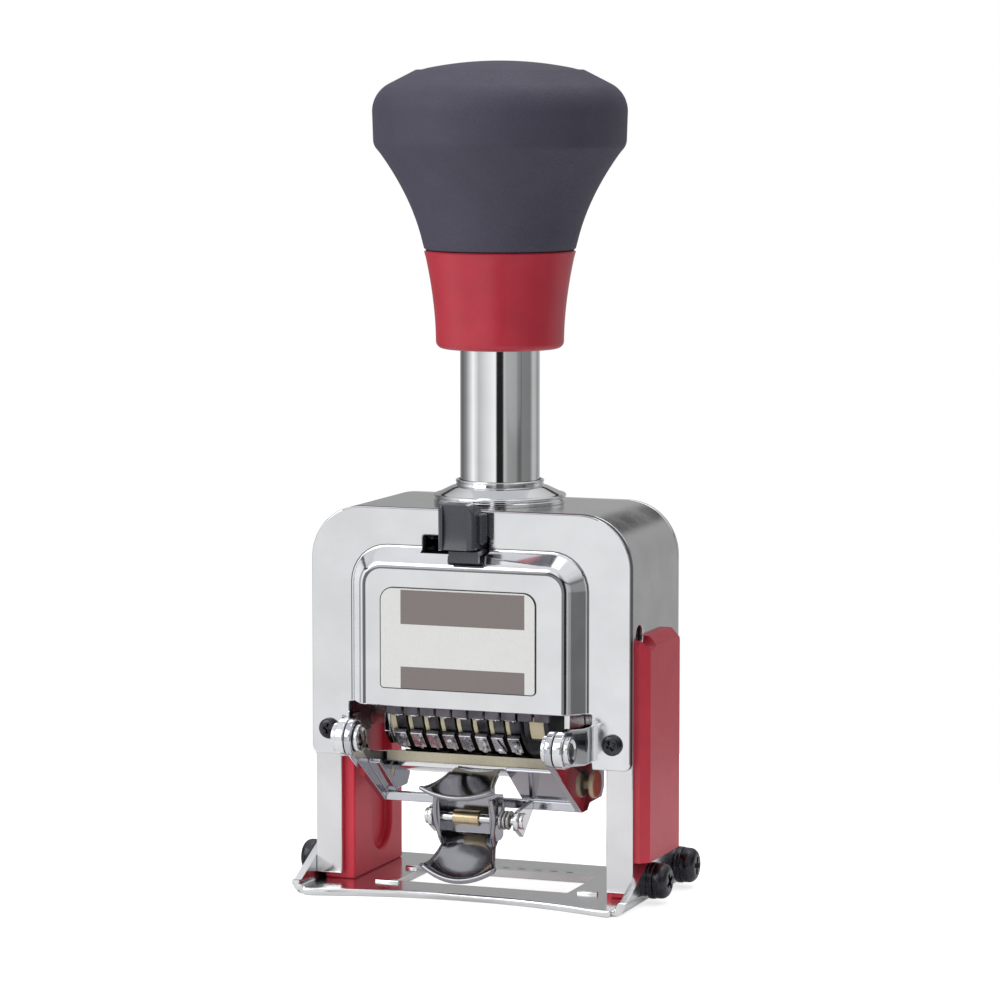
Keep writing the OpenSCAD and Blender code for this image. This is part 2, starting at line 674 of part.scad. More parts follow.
// ---- Inner frame, which moves with the stem ----
frame_low_z = 30;
frame_front_y = wheel_y - 9.8;
frame_back_y = back_seat_y - 0.6;
comb_y = wheel_y - wheel_r - 0.5;
comb_t = 1;
comb_low_z = 37.6;
comb_top_z = 50;
pawl_y = back_seat_y - 2.8;
pawl_z = wheel_z + 11.3;
pawl_shaft_r = 1.4;
spring_x = (frame_out + block_in) / 2;
spring_low_z = roller_z + roller_r + spring_r + 1.6;
spring_top_z = case_h - band_t - 3;
hook_r = 0.9;
module inner_frame() {
    color("silver") at_stem() difference() {
        union() {
            both_sides() {
                side_slab(frame_in, frame_plate_t) polygon([
                    [frame_front_y, frame_low_z + 3], [frame_front_y + 3, frame_low_z],
                    [frame_back_y - 3, frame_low_z], [frame_back_y, frame_low_z + 3],
                    [frame_back_y, bridge_top_z], [frame_front_y + 3, bridge_top_z],
                    [frame_front_y - 1, comb_top_z], [comb_y - comb_t, comb_top_z],
                    [comb_y - comb_t, comb_top_z - 8], [frame_front_y, comb_top_z - 9]
                ]);
                // Lug that the return spring hooks on
                x_rod(frame_out - eps, spring_x - frame_out + 1, hook_r, roller_y, spring_low_z);
            }
            translate([-frame_in - eps, frame_front_y + 3, bridge_top_z - bridge_t])
                cube([2 * frame_in + 2 * eps, frame_back_y - frame_front_y - 3, bridge_t]);
        }
        translate([0, 0, bridge_top_z - bridge_t - 1]) cylinder(h = bridge_t + 2, r = spigot_r + fixed_fit);
        x_rod(-half_w, 2 * half_w, shaft_r + fixed_fit, wheel_y, wheel_z);
        x_rod(-half_w, 2 * half_w, pawl_shaft_r + fixed_fit, pawl_y, pawl_z);
        both_sides() x_rod(frame_in - 1, frame_plate_t + 2, 1.5 + fixed_fit, roller_y, roller_z);
    }
}
module guide_rollers() {
    color("silver") at_stem() both_sides() {
        x_rod(frame_in, frame_plate_t, 1.5, roller_y, roller_z);
        x_rod(frame_out, block_in + roller_depth - frame_out, roller_r, roller_y, roller_z);
    }
}
module wheel_shaft() {
    color("silver") at_stem() x_rod(-frame_out, 2 * frame_out, shaft_r, wheel_y, wheel_z);
}
module pawl_shaft() {
    color("silver") at_stem() x_rod(-frame_out, 2 * frame_out, pawl_shaft_r, pawl_y, pawl_z);
}
function wheel_x(i) = -frame_in + first_wheel_x + wheel_pitch * i;
// Everything on the wheel shaft is a disc with a running bore
module shaft_disc(x0, t, r) {
    difference() {
        x_rod(x0, t, r, wheel_y, wheel_z);
        x_rod(x0 - 1, t + 2, shaft_r + run_fit, wheel_y, wheel_z);
    }
}
// The type overhangs the wheel's ratchet, so that a digit is wider than the wheel's rim
module number_wheel(i) {
    x0 = wheel_x(i) - wheel_w / 2;
    lap = ratchet_t - 0.25;
    color("#4a4845") at_stem() difference() {
        union() {
            x_rod(x0, wheel_w, wheel_r - type_h, wheel_y, wheel_z);
            intersection() {
                difference() {
                    x_rod(x0 - lap, wheel_w + lap - 0.1, wheel_r, wheel_y, wheel_z);
                    x_rod(x0 - lap - 1, lap + 1, ratchet_r + 0.1, wheel_y, wheel_z);
                }
                for (k = [0:digits - 1])
                    translate([x0 - lap, wheel_y, wheel_z]) rotate([k * 360 / digits - type_phase, 0, 0])
                        translate([0, -type_w / 2, -wheel_r - 1]) cube([wheel_w + lap, type_w, 4]);
            }
        }
        x_rod(x0 - 1, wheel_w + 2, shaft_r + run_fit, wheel_y, wheel_z);
    }
}
// The first ratchet is thicker, to fill the row up to the end ring
module ratchet(i) {
    t = i == 0 ? first_ratchet_t : ratchet_t;
    x0 = wheel_x(i) - wheel_w / 2 - t;
    tooth_h = 0.8;
    color("#d8cfa8") at_stem() translate([x0, wheel_y, wheel_z]) rotate([90, 0, 90])
        linear_extrude(t) difference() {
            polygon([for (k = [0:digits - 1]) each [
                for (p = [[ratchet_r, 0], [ratchet_r - tooth_h, 3], [ratchet_r - 0.2, 14], [ratchet_r, 25]])
                    p[0] * [cos(k * 360 / digits + p[1]), sin(k * 360 / digits + p[1])]]]);
            circle(shaft_r + run_fit);
        }
}
module end_ring() {
    color("silver") at_stem() shaft_disc(-frame_in + 0.1, end_ring_t, end_ring_r);
}
first_ratchet_t = first_wheel_x - wheel_w / 2 - end_ring_t - 0.25;
last_wheel_x = wheel_x(wheel_count - 1) + wheel_w / 2;
disc_x = last_wheel_x + wheels_gap;
window_y0 = wheel_y - repeat_disc_r - 1;
window_h = 5;
window_t = 1;
window_side = 1.2;
module window_block(grow) {
    translate([disc_x + window_side - grow, window_y0, wheel_z - 5 - window_h / 2 - grow])
        cube([repeat_disc_t - 2 * window_side + 2 * grow, 3.2, window_h + 2 * grow]);
}
module repeat_disc() {
    color("#202124") at_stem() difference() {
        union() {
            shaft_disc(disc_x, repeat_disc_t, repeat_disc_r);
            shaft_disc(disc_x + repeat_disc_t - eps, disc_spacer - 0.1, shaft_r + 2);
        }
        window_block(fixed_fit);
    }
}
module index_window() {
    color("#d8cfa8") at_stem() intersection() {
        window_block(0);
        difference() {
            x_rod(disc_x, repeat_disc_t, repeat_disc_r - 0.2, wheel_y, wheel_z);
            x_rod(disc_x - 1, repeat_disc_t + 2, repeat_disc_r - 1.6, wheel_y, wheel_z);
        }
    }
}
module detent_comb() {
    slit_w = 0.5;
    slit_h = 4.5;
    color("#4a4845") at_stem() difference() {
        front_slab(comb_y, comb_t) union() {
            translate([-frame_in, comb_top_z - 7.9]) square([2 * frame_in, 7.9]);
            translate([-frame_in + 1, comb_low_z]) square([2 * frame_in - 2, comb_top_z - comb_low_z]);
        }
        for (i = [0:wheel_count + 1])
            translate([wheel_x(i) - (wheel_pitch + slit_w) / 2, comb_y - comb_t - 1, comb_low_z - 1])
                cube([slit_w, comb_t + 2, slit_h + 1]);
    }
}
module feed_pawl() {
    barrel_r = pawl_shaft_r + 0.9;
    finger_w = 0.4;
    tip_r = ratchet_r + 0.35;
    tip_a = 28;
    tip = [wheel_y + tip_r * cos(tip_a), wheel_z + tip_r * sin(tip_a)];
    color("silver") at_stem() difference() {
        union() {
            x_rod(wheel_x(0) - wheel_pitch * 0.7, wheel_pitch * wheel_count, barrel_r, pawl_y, pawl_z);
            for (i = [0:wheel_count - 1])
                side_slab(wheel_x(i) - wheel_w / 2 - ratchet_t - 0.3, finger_w) polygon([
                    tip, tip + [1.4, -0.4],
                    [pawl_y + barrel_r * 0.8, pawl_z], [pawl_y - barrel_r * 0.8, pawl_z]
                ]);
        }
        x_rod(-frame_out, 2 * frame_out, pawl_shaft_r + fixed_fit, pawl_y, pawl_z);
    }
}
// Two springs pull the inner frame up towards the case's top
spring_steps = 14;
module return_springs() {
    low = spring_low_z + 1.8;
    high = spring_top_z - 1.8;
    turns = spring_turns * spring_steps;
    color("silver") at_stem() both_sides() translate([spring_x, roller_y, 0]) wire_tube([
        for (i = [0:turns]) let (a = i * 360 / spring_steps)
            [spring_r * cos(a), spring_r * sin(a), low + (high - low) * i / turns]
    ], spring_wire / 2, 6);
}
module spring_hangers() {
    ring_r = 1.5;
    color("silver") at_stem() both_sides() translate([spring_x, roller_y, spring_top_z - 1.6]) {
        cylinder(h = case_h - band_t - spring_top_z + 1.6, r = hook_r);
        translate([0, 0, 0.8]) cylinder(h = 0.8, r = ring_r);
    }
}

// ---- Pad carrier ----
cradle_gap = 0.3;
felt_in = wheel_r + cradle_gap;
felt_out = felt_in + felt_t;
tray_in = felt_out + fixed_fit;
tray_out = tray_in + tray_t;
pad_front_y = wheel_y - wheel_r * 0.6;
pad_back_y = wheel_y + wheel_r * 0.42;
bar_y = -11.5;
bar_z = 18.1;
bar_d = 1.6;
window_web = 2.4;
web_left = 9;
module cradle(r_in, r_out, x_half) {
    intersection() {
        difference() {
            x_rod(-x_half, 2 * x_half, r_out, wheel_y, wheel_z);
            x_rod(-x_half - 1, 2 * x_half + 2, r_in, wheel_y, wheel_z);
        }
        translate([-x_half - 1, pad_front_y, 0]) cube([2 * x_half + 2, pad_back_y - pad_front_y, wheel_z]);
    }
}
module ink_pad() {
    color("#d8cfa8") at_stem() cradle(felt_in, felt_out, arm_in - 0.4);
}
module pad_tray() {
    color("silver") at_stem() cradle(tray_in, tray_out, arm_in);
}
// Front web of the carrier: a sloping sheet from the hinge side down to the bar
web_top = [pivot_y + 6.3, pivot_z - 5.9];
web_low = [bar_y, bar_z + bar_h];
module web_slope(x0, x1) {
    run = web_low - web_top;
    nose = [-run.y, run.x] / norm(run);
    side_slab(x0, x1 - x0) polygon([web_top, web_low + [0.3, 0], web_low + nose + [0.3, 0], web_top + nose]);
}
module pad_carrier() {
    color("silver") at_stem() difference() {
        union() {
            both_sides() side_slab(arm_in, arm_t) union() {
                translate([pivot_y, pivot_z]) circle(lobe_r);
                polygon([
                    [pivot_y - lobe_r * 0.7, pivot_z - lobe_r * 0.7], [bar_y, bar_z], [bar_y + 3, bar_z],
                    [bar_y + 4.5, bar_z + 1.3], [pad_back_y - 1.5, bar_z + 1.4], [pad_back_y, bar_z + 3.4],
                    [pad_back_y, wheel_z - 14.2], [pivot_y + 7, pivot_z - 3.6],
                    [pivot_y + lobe_r * 0.7, pivot_z + lobe_r * 0.7]
                ]);
            }
            translate([-arm_in - eps, bar_y, bar_z]) cube([2 * arm_in + 2 * eps, bar_d, bar_h]);
            web_slope(web_left, arm_in + eps);
            web_slope(-arm_in - eps, -arm_in + window_web);
        }
        both_sides() {
            x_rod(arm_in - 1, arm_t + 2, rivet_r + run_fit, pivot_y, pivot_z);
            x_rod(arm_in - 1, arm_t + 2, 1 + fixed_fit, side_roller_y, side_roller_z);
        }
    }
}
side_roller_y = -8;
side_roller_z = 23.6;
side_roller_t = 1.1;
side_roller_gap = 0.8;
module side_rollers() {
    color("#d8cfa8") at_stem() both_sides() {
        x_rod(arm_in, arm_t + side_roller_gap + eps, 1, side_roller_y, side_roller_z);
        x_rod(arm_out + side_roller_gap, side_roller_t, side_roller_r, side_roller_y, side_roller_z);
    }
}
// The finger tab reaches forward from the tray, the clip lever hangs below it
tab_front_y = -26.5;
tab_front_z = 23.4;
tab_root = [pad_front_y - 0.25, 26.4];
module lip_outline(root_half, root_y, lip_y) {
    depth = root_y - lip_y;
    polygon(concat(
        [[root_half, root_y], [-root_half, root_y]],
        arc([-lip_half_w + 1.6, lip_y + 3.4], 1.6, 180, 225, 3),
        [for (i = [-3:3]) [i * (lip_half_w - 2.6) / 3, lip_y + 1.5 * pow(i / 3, 2)]],
        arc([lip_half_w - 1.6, lip_y + 3.4], 1.6, -45, 0, 3)
    ));
}
module finger_tab() {
    tilt = atan2(tab_root.y - tab_front_z, tab_root.x - tab_front_y);
    color("silver") at_stem() translate([0, tab_root.x, tab_root.y]) rotate([tilt, 0, 0])
        translate([0, -tab_root.x, -clip_t])
            linear_extrude(clip_t) lip_outline(clip_half_w, tab_root.x, tab_front_y);
}
axle_y = -18.9;
axle_z = 17;
clip_out = clip_half_w + clip_t;
bracket_left = -clip_out - 1.6;
bracket_right = clip_out + 4.2;
bracket_t = 1;
module clip_bracket() {
    color("silver") at_stem() difference() {
        for (x = [bracket_left, bracket_right]) side_slab(x, bracket_t) union() {
            translate([axle_y, axle_z]) circle(axle_r + 1.3);
            polygon([
                [axle_y, axle_z + axle_r + 1.3], [bar_y - 0.02, bar_z + bar_h], [bar_y - 0.02, bar_z],
                [axle_y + 1.5, axle_z - axle_r - 2.6], [axle_y - 1.3, axle_z - axle_r - 0.9]
            ]);
        }
        x_rod(bracket_left - 1, bracket_right - bracket_left + 3, axle_r + fixed_fit, axle_y, axle_z);
    }
}
module clip_axle() {
    color("silver") at_stem() {
        x_rod(bracket_left, bracket_right - bracket_left + bracket_t, axle_r, axle_y, axle_z);
        x_rod(bracket_left - 0.9, 0.9, axle_r + 0.7, axle_y, axle_z);
        x_rod(bracket_right + bracket_t, 0.9, axle_r + 0.7, axle_y, axle_z);
    }
}
module clip_roller() {
    roller_half = 2.8;
    color("goldenrod") at_stem() difference() {
        x_rod(-roller_half, 2 * roller_half, axle_r + 0.6, axle_y, axle_z);
        x_rod(-roller_half - 1, 2 * roller_half + 2, axle_r + run_fit, axle_y, axle_z);
    }
}
lever_top_z = 21.6;
waist_z = 12;
lip_y = -25.6;
lip_z = 6.4;
web_y = axle_y + axle_r + 1.9;
module clip_lever() {
    color("silver") at_stem() difference() {
        union() {
            // Back wall and scoop, cut to the lever's front outline
            intersection() {
                side_slab(-lip_half_w, 2 * lip_half_w) polygon(concat(
                    [[web_y, lever_top_z], [web_y + clip_t, lever_top_z]],
                    [[web_y + clip_t, waist_z + 1]],
                    [for (i = [1:5]) [web_y + clip_t - (web_y + clip_t - lip_y) * i / 5,
                        lip_z - clip_t + (waist_z + 1 - lip_z) * pow(1 - i / 5, 1.6)]],
                    [[lip_y, lip_z + 0.2]],
                    [for (i = [4:-1:0]) [web_y - (web_y - lip_y) * i / 5,
                        lip_z + (waist_z + 1.4 - lip_z) * pow(1 - i / 5, 1.6)]]
                ));
                front_slab(0, 40) polygon([
                    [-clip_half_w - 0.5, lever_top_z], [clip_half_w + 0.5, lever_top_z],
                    [clip_half_w + 0.5, waist_z - 1], [lip_half_w, lip_z + 1.5], [lip_half_w, 0],
                    [-lip_half_w, 0], [-lip_half_w, lip_z + 1.5], [-clip_half_w - 0.5, waist_z - 1]
                ]);
            }
            both_sides() side_slab(clip_half_w, clip_t) polygon([
                [web_y + clip_t, lever_top_z], [axle_y - 2.6, lever_top_z], [axle_y - 1.9, axle_z + 1],
                [axle_y - 1.6, axle_z - 2], [axle_y + 0.4, waist_z - 0.6], [web_y + clip_t, waist_z + 1]
            ]);
        }
        x_rod(-lip_half_w, 2 * lip_half_w, axle_r + run_fit, axle_y, axle_z);
    }
}
module clip_spring() {
    coil_r = axle_r + 0.3 + clip_wire / 2;
    coil_turns = 3;
    steps = 14;
    coil_x = clip_out + 0.3 + clip_wire / 2;
    color("silver") at_stem() translate([coil_x, axle_y, axle_z]) wire_tube(concat(
        [[0, coil_r + 0.2, 3.2], [0, coil_r, 1.4]],
        [for (i = [0:coil_turns * steps]) let (a = -i * 360 / steps)
            [(clip_wire + 0.12) * i / steps, coil_r * cos(a), coil_r * sin(a)]],
        [[(clip_wire + 0.12) * coil_turns, coil_r, -1.2], [(clip_wire + 0.12) * coil_turns, coil_r + 0.4, -2.4]]
    ), clip_wire / 2, 6);
}

// ---- Selector ----
module selector_knob() {
    neck_x = knob_x - neck_w / 2;
    finger_x = knob_x - 1.1;
    finger_y = bulge_face_y - 2.4;
    knob_z = slot_z + 1.2;
    slide_z = slot_z + 0.3;
    color("#202124") at_stem() difference() {
        union() {
            // Finger piece, and the lower step behind its right side
            translate([finger_x - knob_w / 2, finger_y, knob_z]) cube([knob_w, 4.6, knob_h]);
            translate([finger_x + knob_w / 2 - 2, finger_y + 2.4, knob_z + 1.2])
                cube([2.9, 3.1, knob_h - 3.2]);
            // Foot resting on the raised panel
            translate([neck_x, bulge_face_y - 1.2, slot_z - 1.2])
                cube([neck_w, 1, knob_z - slot_z + 1.4]);
            // Neck through the slot and slide behind the front plate
            translate([neck_x, bulge_face_y - 1.2, slide_z])
                cube([neck_w, front_plate_t + bulge_h + 1.6, slot_h - 0.9]);
            translate([neck_x - 2, seat_y + 0.15, slide_z - 1]) cube([neck_w + 4, 1, slot_h + 0.1]);
        }
        // The finger piece rolls off at the left and is rounded at its upper right
        translate([finger_x - knob_w / 2, finger_y, knob_z - 1]) rotate(45)
            cube([1.6, 1.6, 2 * knob_h + 4], center = true);
        translate([finger_x + knob_w / 2, finger_y, knob_z + knob_h]) rotate([0, 45, 0])
            cube([4, 9, 4], center = true);
    }
}

base_plate();
case_band();
front_plate();
back_plate();
name_badge();
left_guide_block();
right_guide_block();
side_cover();
guide_bush();
flange_washer();
flange_nut();
base_washers();
base_screws();
plate_screws();
side_screws();
hinge_rivets();
spring_hangers();
grip();
grip_cap();
collar();
stem();
stop_washer();
stem_nut();
inner_frame();
wheel_shaft();
end_ring();
repeat_disc();
index_window();
detent_comb();
pawl_shaft();
feed_pawl();
guide_rollers();
return_springs();
for (i = [0:wheel_count - 1]) {
    number_wheel(i);
    ratchet(i);
}
pad_carrier();
pad_tray();
ink_pad();
side_rollers();
finger_tab();
clip_bracket();
clip_axle();
clip_roller();
clip_lever();
clip_spring();
selector_knob();
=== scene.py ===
# %% [markdown]
# # A hand numbering machine
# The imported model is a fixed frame: every solid has its true size and place already. This script gives each
# of them its finish. The return springs keep their own mesh and only get a material. Every other solid is
# replaced by a more detailed piece that stands in the same place.

# %% Load the frame
from math import acos, cos, degrees, pi, radians, sin, sqrt

import bmesh
import bpy
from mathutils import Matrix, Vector


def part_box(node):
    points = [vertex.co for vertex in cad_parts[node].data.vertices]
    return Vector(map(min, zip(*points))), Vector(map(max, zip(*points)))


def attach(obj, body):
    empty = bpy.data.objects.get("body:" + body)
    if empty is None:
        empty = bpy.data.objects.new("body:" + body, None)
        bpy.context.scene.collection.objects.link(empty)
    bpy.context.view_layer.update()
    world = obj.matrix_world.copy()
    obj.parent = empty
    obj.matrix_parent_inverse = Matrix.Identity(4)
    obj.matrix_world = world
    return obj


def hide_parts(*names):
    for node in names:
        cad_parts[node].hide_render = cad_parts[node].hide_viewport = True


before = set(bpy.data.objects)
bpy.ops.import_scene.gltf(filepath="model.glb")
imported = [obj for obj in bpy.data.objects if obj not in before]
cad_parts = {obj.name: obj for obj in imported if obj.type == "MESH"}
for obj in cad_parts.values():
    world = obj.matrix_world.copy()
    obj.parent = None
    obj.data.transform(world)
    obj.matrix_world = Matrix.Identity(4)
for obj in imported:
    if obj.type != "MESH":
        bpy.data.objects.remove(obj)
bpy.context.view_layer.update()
MM = 0.001

# %% [markdown]
# ## Places that many pieces share
# The machine is built round two axes: the stem, which stands upright, and the shaft that the number wheels
# turn on. Both are read from the frame, so nothing here is typed twice.

# %% Read the axes and a few levels from the frame
def low(node):
    """Lowest corner of a solid's box."""
    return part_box(node)[0]


def high(node):
    """Highest corner of a solid's box."""
    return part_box(node)[1]


def middle(node):
    """Middle of a solid's box."""
    return (low(node) + high(node)) / 2


def levels(node):
    """Height of a solid's foot and of its top, in millimetres."""
    return low(node).z / MM, high(node).z / MM


def half_width(node):
    """Half of a solid's width in millimetres, which is the radius of a round one."""
    return (high(node).x - low(node).x) / 2 / MM


stem = middle("stem")
shaft = middle("wheel_shaft")
hinge = middle("hinge_rivets")
side_middle = middle("side_screws")
print("stem y", round(stem.y / MM, 2), "shaft y z", round(shaft.y / MM, 2), round(shaft.z / MM, 2))

# %% [markdown]
# ## The camera
# A long lens far away keeps the sides of the case nearly parallel. The camera stands to the right of the
# machine and a little above the grip, and looks slightly down at its middle.

# %% Place the camera
CAMERA_TURN = radians(20.5)
CAMERA_DISTANCE = 870 * MM
CAMERA_HEIGHT = 174 * MM
AIM_HEIGHT = 80.3 * MM
LENS = 152.4


def new_object(name, data):
    """A new object in the scene."""
    made = bpy.data.objects.new(name, data)
    bpy.context.scene.collection.objects.link(made)
    return made


camera = new_object("camera", bpy.data.cameras.new("camera"))
aim = Vector((0, stem.y, AIM_HEIGHT))
camera.location = (sin(CAMERA_TURN) * CAMERA_DISTANCE, stem.y - cos(CAMERA_TURN) * CAMERA_DISTANCE,
                   CAMERA_HEIGHT)
camera.rotation_euler = (aim - camera.location).to_track_quat("-Z", "Y").to_euler()
camera.data.sensor_width = 36
camera.data.lens = LENS
camera.data.clip_end = 20
bpy.context.scene.camera = camera
print("camera at", [round(v / MM) for v in camera.location])

# %% [markdown]
# ## Node helpers
# A material is a small graph. These helpers add one node at a time and wire it up, so that each finish below
# reads as a short recipe. An input is given either a value or [source, output], which wires it to a node that
# is there already. All patterns read Object coordinates, which are in metres here.

# %% Make a material and its basic nodes
def feed(made, node, place, given):
    """Give one input, by its name or number, what it needs."""
    if isinstance(given, list):
        source, out = given
        made.node_tree.links.new(source.outputs[out], node.inputs[place])
    else:
        node.inputs[place].default_value = given


def add(made, kind, *numbered, **named_inputs):
    """One node of a kind. Inputs are given in pairs of number and content, or by name."""
    node = made.node_tree.nodes.new(kind)
    for place, given in numbered:
        feed(made, node, place, given)
    for name, given in named_inputs.items():
        feed(made, node, name.replace("_", " "), given)
    return node


def new_material(name, **inputs):
    """A node material and its Principled shader, with some inputs given by name."""
    made = bpy.data.materials.new(name)
    made.use_nodes = True
    shader = made.node_tree.nodes["Principled BSDF"]
    for place, given in inputs.items():
        feed(made, shader, place.replace("_", " "), given)
    return made, shader


def reckon(made, operation, *terms):
    """A Math node with its terms given in order."""
    node = add(made, "ShaderNodeMath", *enumerate(terms))
    node.operation = operation
    return node


def speckle(made, size, detail, scale=(1, 1, 1)):
    """Noise with grains about `size` metres across. A greater `scale` along an axis shortens them there."""
    place = add(made, "ShaderNodeMapping", Scale=scale, Vector=[add(made, "ShaderNodeTexCoord"), "Object"])
    return add(made, "ShaderNodeTexNoise", Scale=1 / size, Detail=detail, Vector=[place, 0])


def shaded(colour, factor):
    """A colour made darker or lighter by a factor."""
    return tuple(min(1, c * factor) for c in colour)


def ramp(made, source, stops, out=0):
    """A colour ramp fed by `source`. Each stop is (place, value or colour)."""
    node = add(made, "ShaderNodeValToRGB", Fac=[source, out])
    while len(node.color_ramp.elements) < len(stops):
        node.color_ramp.elements.new(0.5)
    for element, (place, value) in zip(node.color_ramp.elements, stops):
        element.position = place
        element.color = (value, value, value, 1) if isinstance(value, (int, float)) else (*value, 1)
    return node


def bump(made, shader, source, strength, depth, below=None):
    """Relief from a grey pattern. `below` is another bump that this one lies on."""
    node = add(made, "ShaderNodeBump", Strength=strength, Distance=depth, Height=[source, 0])
    if below:
        feed(made, node, "Normal", [below, 0])
    feed(made, shader, "Normal", [node, 0])
    return node


def shade(made, shader, place, source, *stops):
    """Give one input of the shader a ramp's colours or greys."""
    feed(made, shader, place, [ramp(made, source, stops), 0])


# %% [markdown]
# ## Chrome plate
# Bright nickel-chrome over pressed steel. What makes it read as plate and not as a mirror is small: the sheet
# under it is slightly wavy, fine rubbing marks scatter the highlight, and handling leaves faint clouds in
# the gloss. The large pressed faces are buffed less finely. Faces that look into the machine, and dark lines
# on the front plate, get darker copies of the chrome, which are painted shade.

# %% Mix the chrome
def chrome(name, tint=(0.80, 0.81, 0.82), gloss=(0.05, 0.13), wave=0.10):
    """Plated metal. `gloss` is its least and greatest roughness, `wave` how uneven the sheet under it is."""
    made, shader = new_material(name, Metallic=1)
    clouds = speckle(made, 9 * MM, 4)
    shade(made, shader, "Base Color", clouds, (0.35, shaded(tint, 0.93)), (0.65, tint))
    cloudy = reckon(made, "MULTIPLY_ADD", [speckle(made, 0.8 * MM, 6), 0], 0.5, [clouds, 0])
    shade(made, shader, "Roughness", cloudy, (0.55, gloss[0]), (0.95, gloss[1]))
    sheet = bump(made, shader, speckle(made, 14 * MM, 1), wave, 0.5 * MM)
    bump(made, shader, speckle(made, 0.35 * MM, 2), 0.03, 0.02 * MM, below=sheet)
    return made


mirror_chrome = chrome("mirror_chrome")
plate_chrome = chrome("plate_chrome", tint=(0.84, 0.85, 0.86), gloss=(0.13, 0.22), wave=0.06)
carrier_chrome = chrome("carrier_chrome", tint=(0.60, 0.61, 0.65), gloss=(0.06, 0.14), wave=0.10)
satin_chrome = chrome("satin_chrome", tint=(0.83, 0.84, 0.86), gloss=(0.08, 0.15), wave=0.04)
stem_chrome = chrome("stem_chrome", tint=(0.78, 0.79, 0.80), gloss=(0.04, 0.08), wave=0.0)
# Painted shade: a dark chrome for the carrier arms' side faces, which look into the machine.
arm_shade_chrome = chrome("arm_shade_chrome", tint=(0.17, 0.175, 0.21), gloss=(0.10, 0.20), wave=0.10)
dark_chrome = chrome("dark_chrome", tint=(0.36, 0.36, 0.39), gloss=(0.10, 0.20), wave=0.08)
band_chrome = chrome("band_chrome", tint=(0.80, 0.80, 0.81), gloss=(0.12, 0.20), wave=0.06)
# Painted shade: a dark, dull chrome for the front plate's cut edges and the base plate's stamped marks.
edge_shade = chrome("painted_edge_shade", tint=(0.13, 0.13, 0.14), gloss=(0.28, 0.42))
# Painted shade: a darker chrome for a strip of the front panel's rounds, where it draws a dark line.
shadowed = chrome("painted_crease_shade", tint=(0.20, 0.20, 0.21), gloss=(0.10, 0.18))
print("chromes:", mirror_chrome.name, plate_chrome.name, satin_chrome.name, dark_chrome.name)

# %% [markdown]
# ## Moulded plastic and rubber
# The red pieces are a hard plastic with a fine spark-eroded grain, so their gloss is broken up at the scale
# of a fifth of a millimetre. The grip is a softer skin: darker, duller, with a coarser pebble. One recipe
# makes both, and the black and cream mouldings too.

# %% Mix the plastics
def plastic(name, colour, gloss, grain, relief, coat=0.0):
    """A moulded plastic. `gloss` is its roughness, `grain` the size of its texture in metres."""
    made, shader = new_material(name, Coat_Weight=coat, Coat_Roughness=0.2)
    clouds = speckle(made, 6 * MM, 4)
    shade(made, shader, "Base Color", clouds, (0.3, shaded(colour, 0.92)), (0.55, colour),
          (0.8, shaded(colour, 1.08)))
    pebble = speckle(made, grain, 2)
    shade(made, shader, "Roughness", pebble, (0.3, gloss - 0.05), (0.7, gloss + 0.07))
    flow = bump(made, shader, clouds, 0.05, 0.3 * MM)
    bump(made, shader, pebble, relief, grain * 0.3, below=flow)
    return made


red_plastic = plastic("red_plastic", (0.50, 0.022, 0.045), 0.38, 0.22 * MM, 0.30, coat=0.10)
block_red = plastic("block_red", (0.70, 0.030, 0.060), 0.46, 0.22 * MM, 0.30)
# Painted shade: a dark red for the blocks above the wheels' level, inside the case.
painted_shade_red = plastic("painted_shade_red", (0.10, 0.012, 0.02), 0.55, 0.22 * MM, 0.30)
soft_grip = plastic("soft_grip", (0.063, 0.058, 0.091), 0.62, 0.45 * MM, 0.95)
black_plastic = plastic("black_plastic", (0.016, 0.017, 0.022), 0.30, 0.3 * MM, 0.15)
selector_black = plastic("selector_black", (0.040, 0.041, 0.058), 0.28, 0.3 * MM, 0.12, coat=0.5)
cream_plastic = plastic("cream_plastic", (0.72, 0.63, 0.42), 0.38, 0.3 * MM, 0.15)
black_rubber = plastic("black_rubber", (0.02, 0.02, 0.02), 0.7, 0.3 * MM, 0.4)
print("plastics:", red_plastic.name, soft_grip.name, black_plastic.name, cream_plastic.name)

# %% [markdown]
# ## Steel, brass, type metal and black screws
# The steel is clouded by handling, the brass roller keeps the fine rings of the lathe, and the type wheels
# are a dark metal that is stained with old ink.

# %% Mix the working metals
def metal(name, colour, gloss, grain, relief, scale=(1, 1, 1), stain=None):
    """Worked metal. A `scale` above 1 along an axis gives it rings round that axis, and `stain` is a colour
    that lies on it in clouds."""
    made, shader = new_material(name, Metallic=1)
    clouds = speckle(made, 3 * MM, 5)
    shade(made, shader, "Base Color", clouds, (0.38, stain or shaded(colour, 0.8)), (0.6, colour))
    lines = speckle(made, grain, 3, scale)
    shade(made, shader, "Roughness", lines, (0.3, gloss - 0.06), (0.7, gloss + 0.10))
    bump(made, shader, lines, relief, grain * 0.25)
    return made


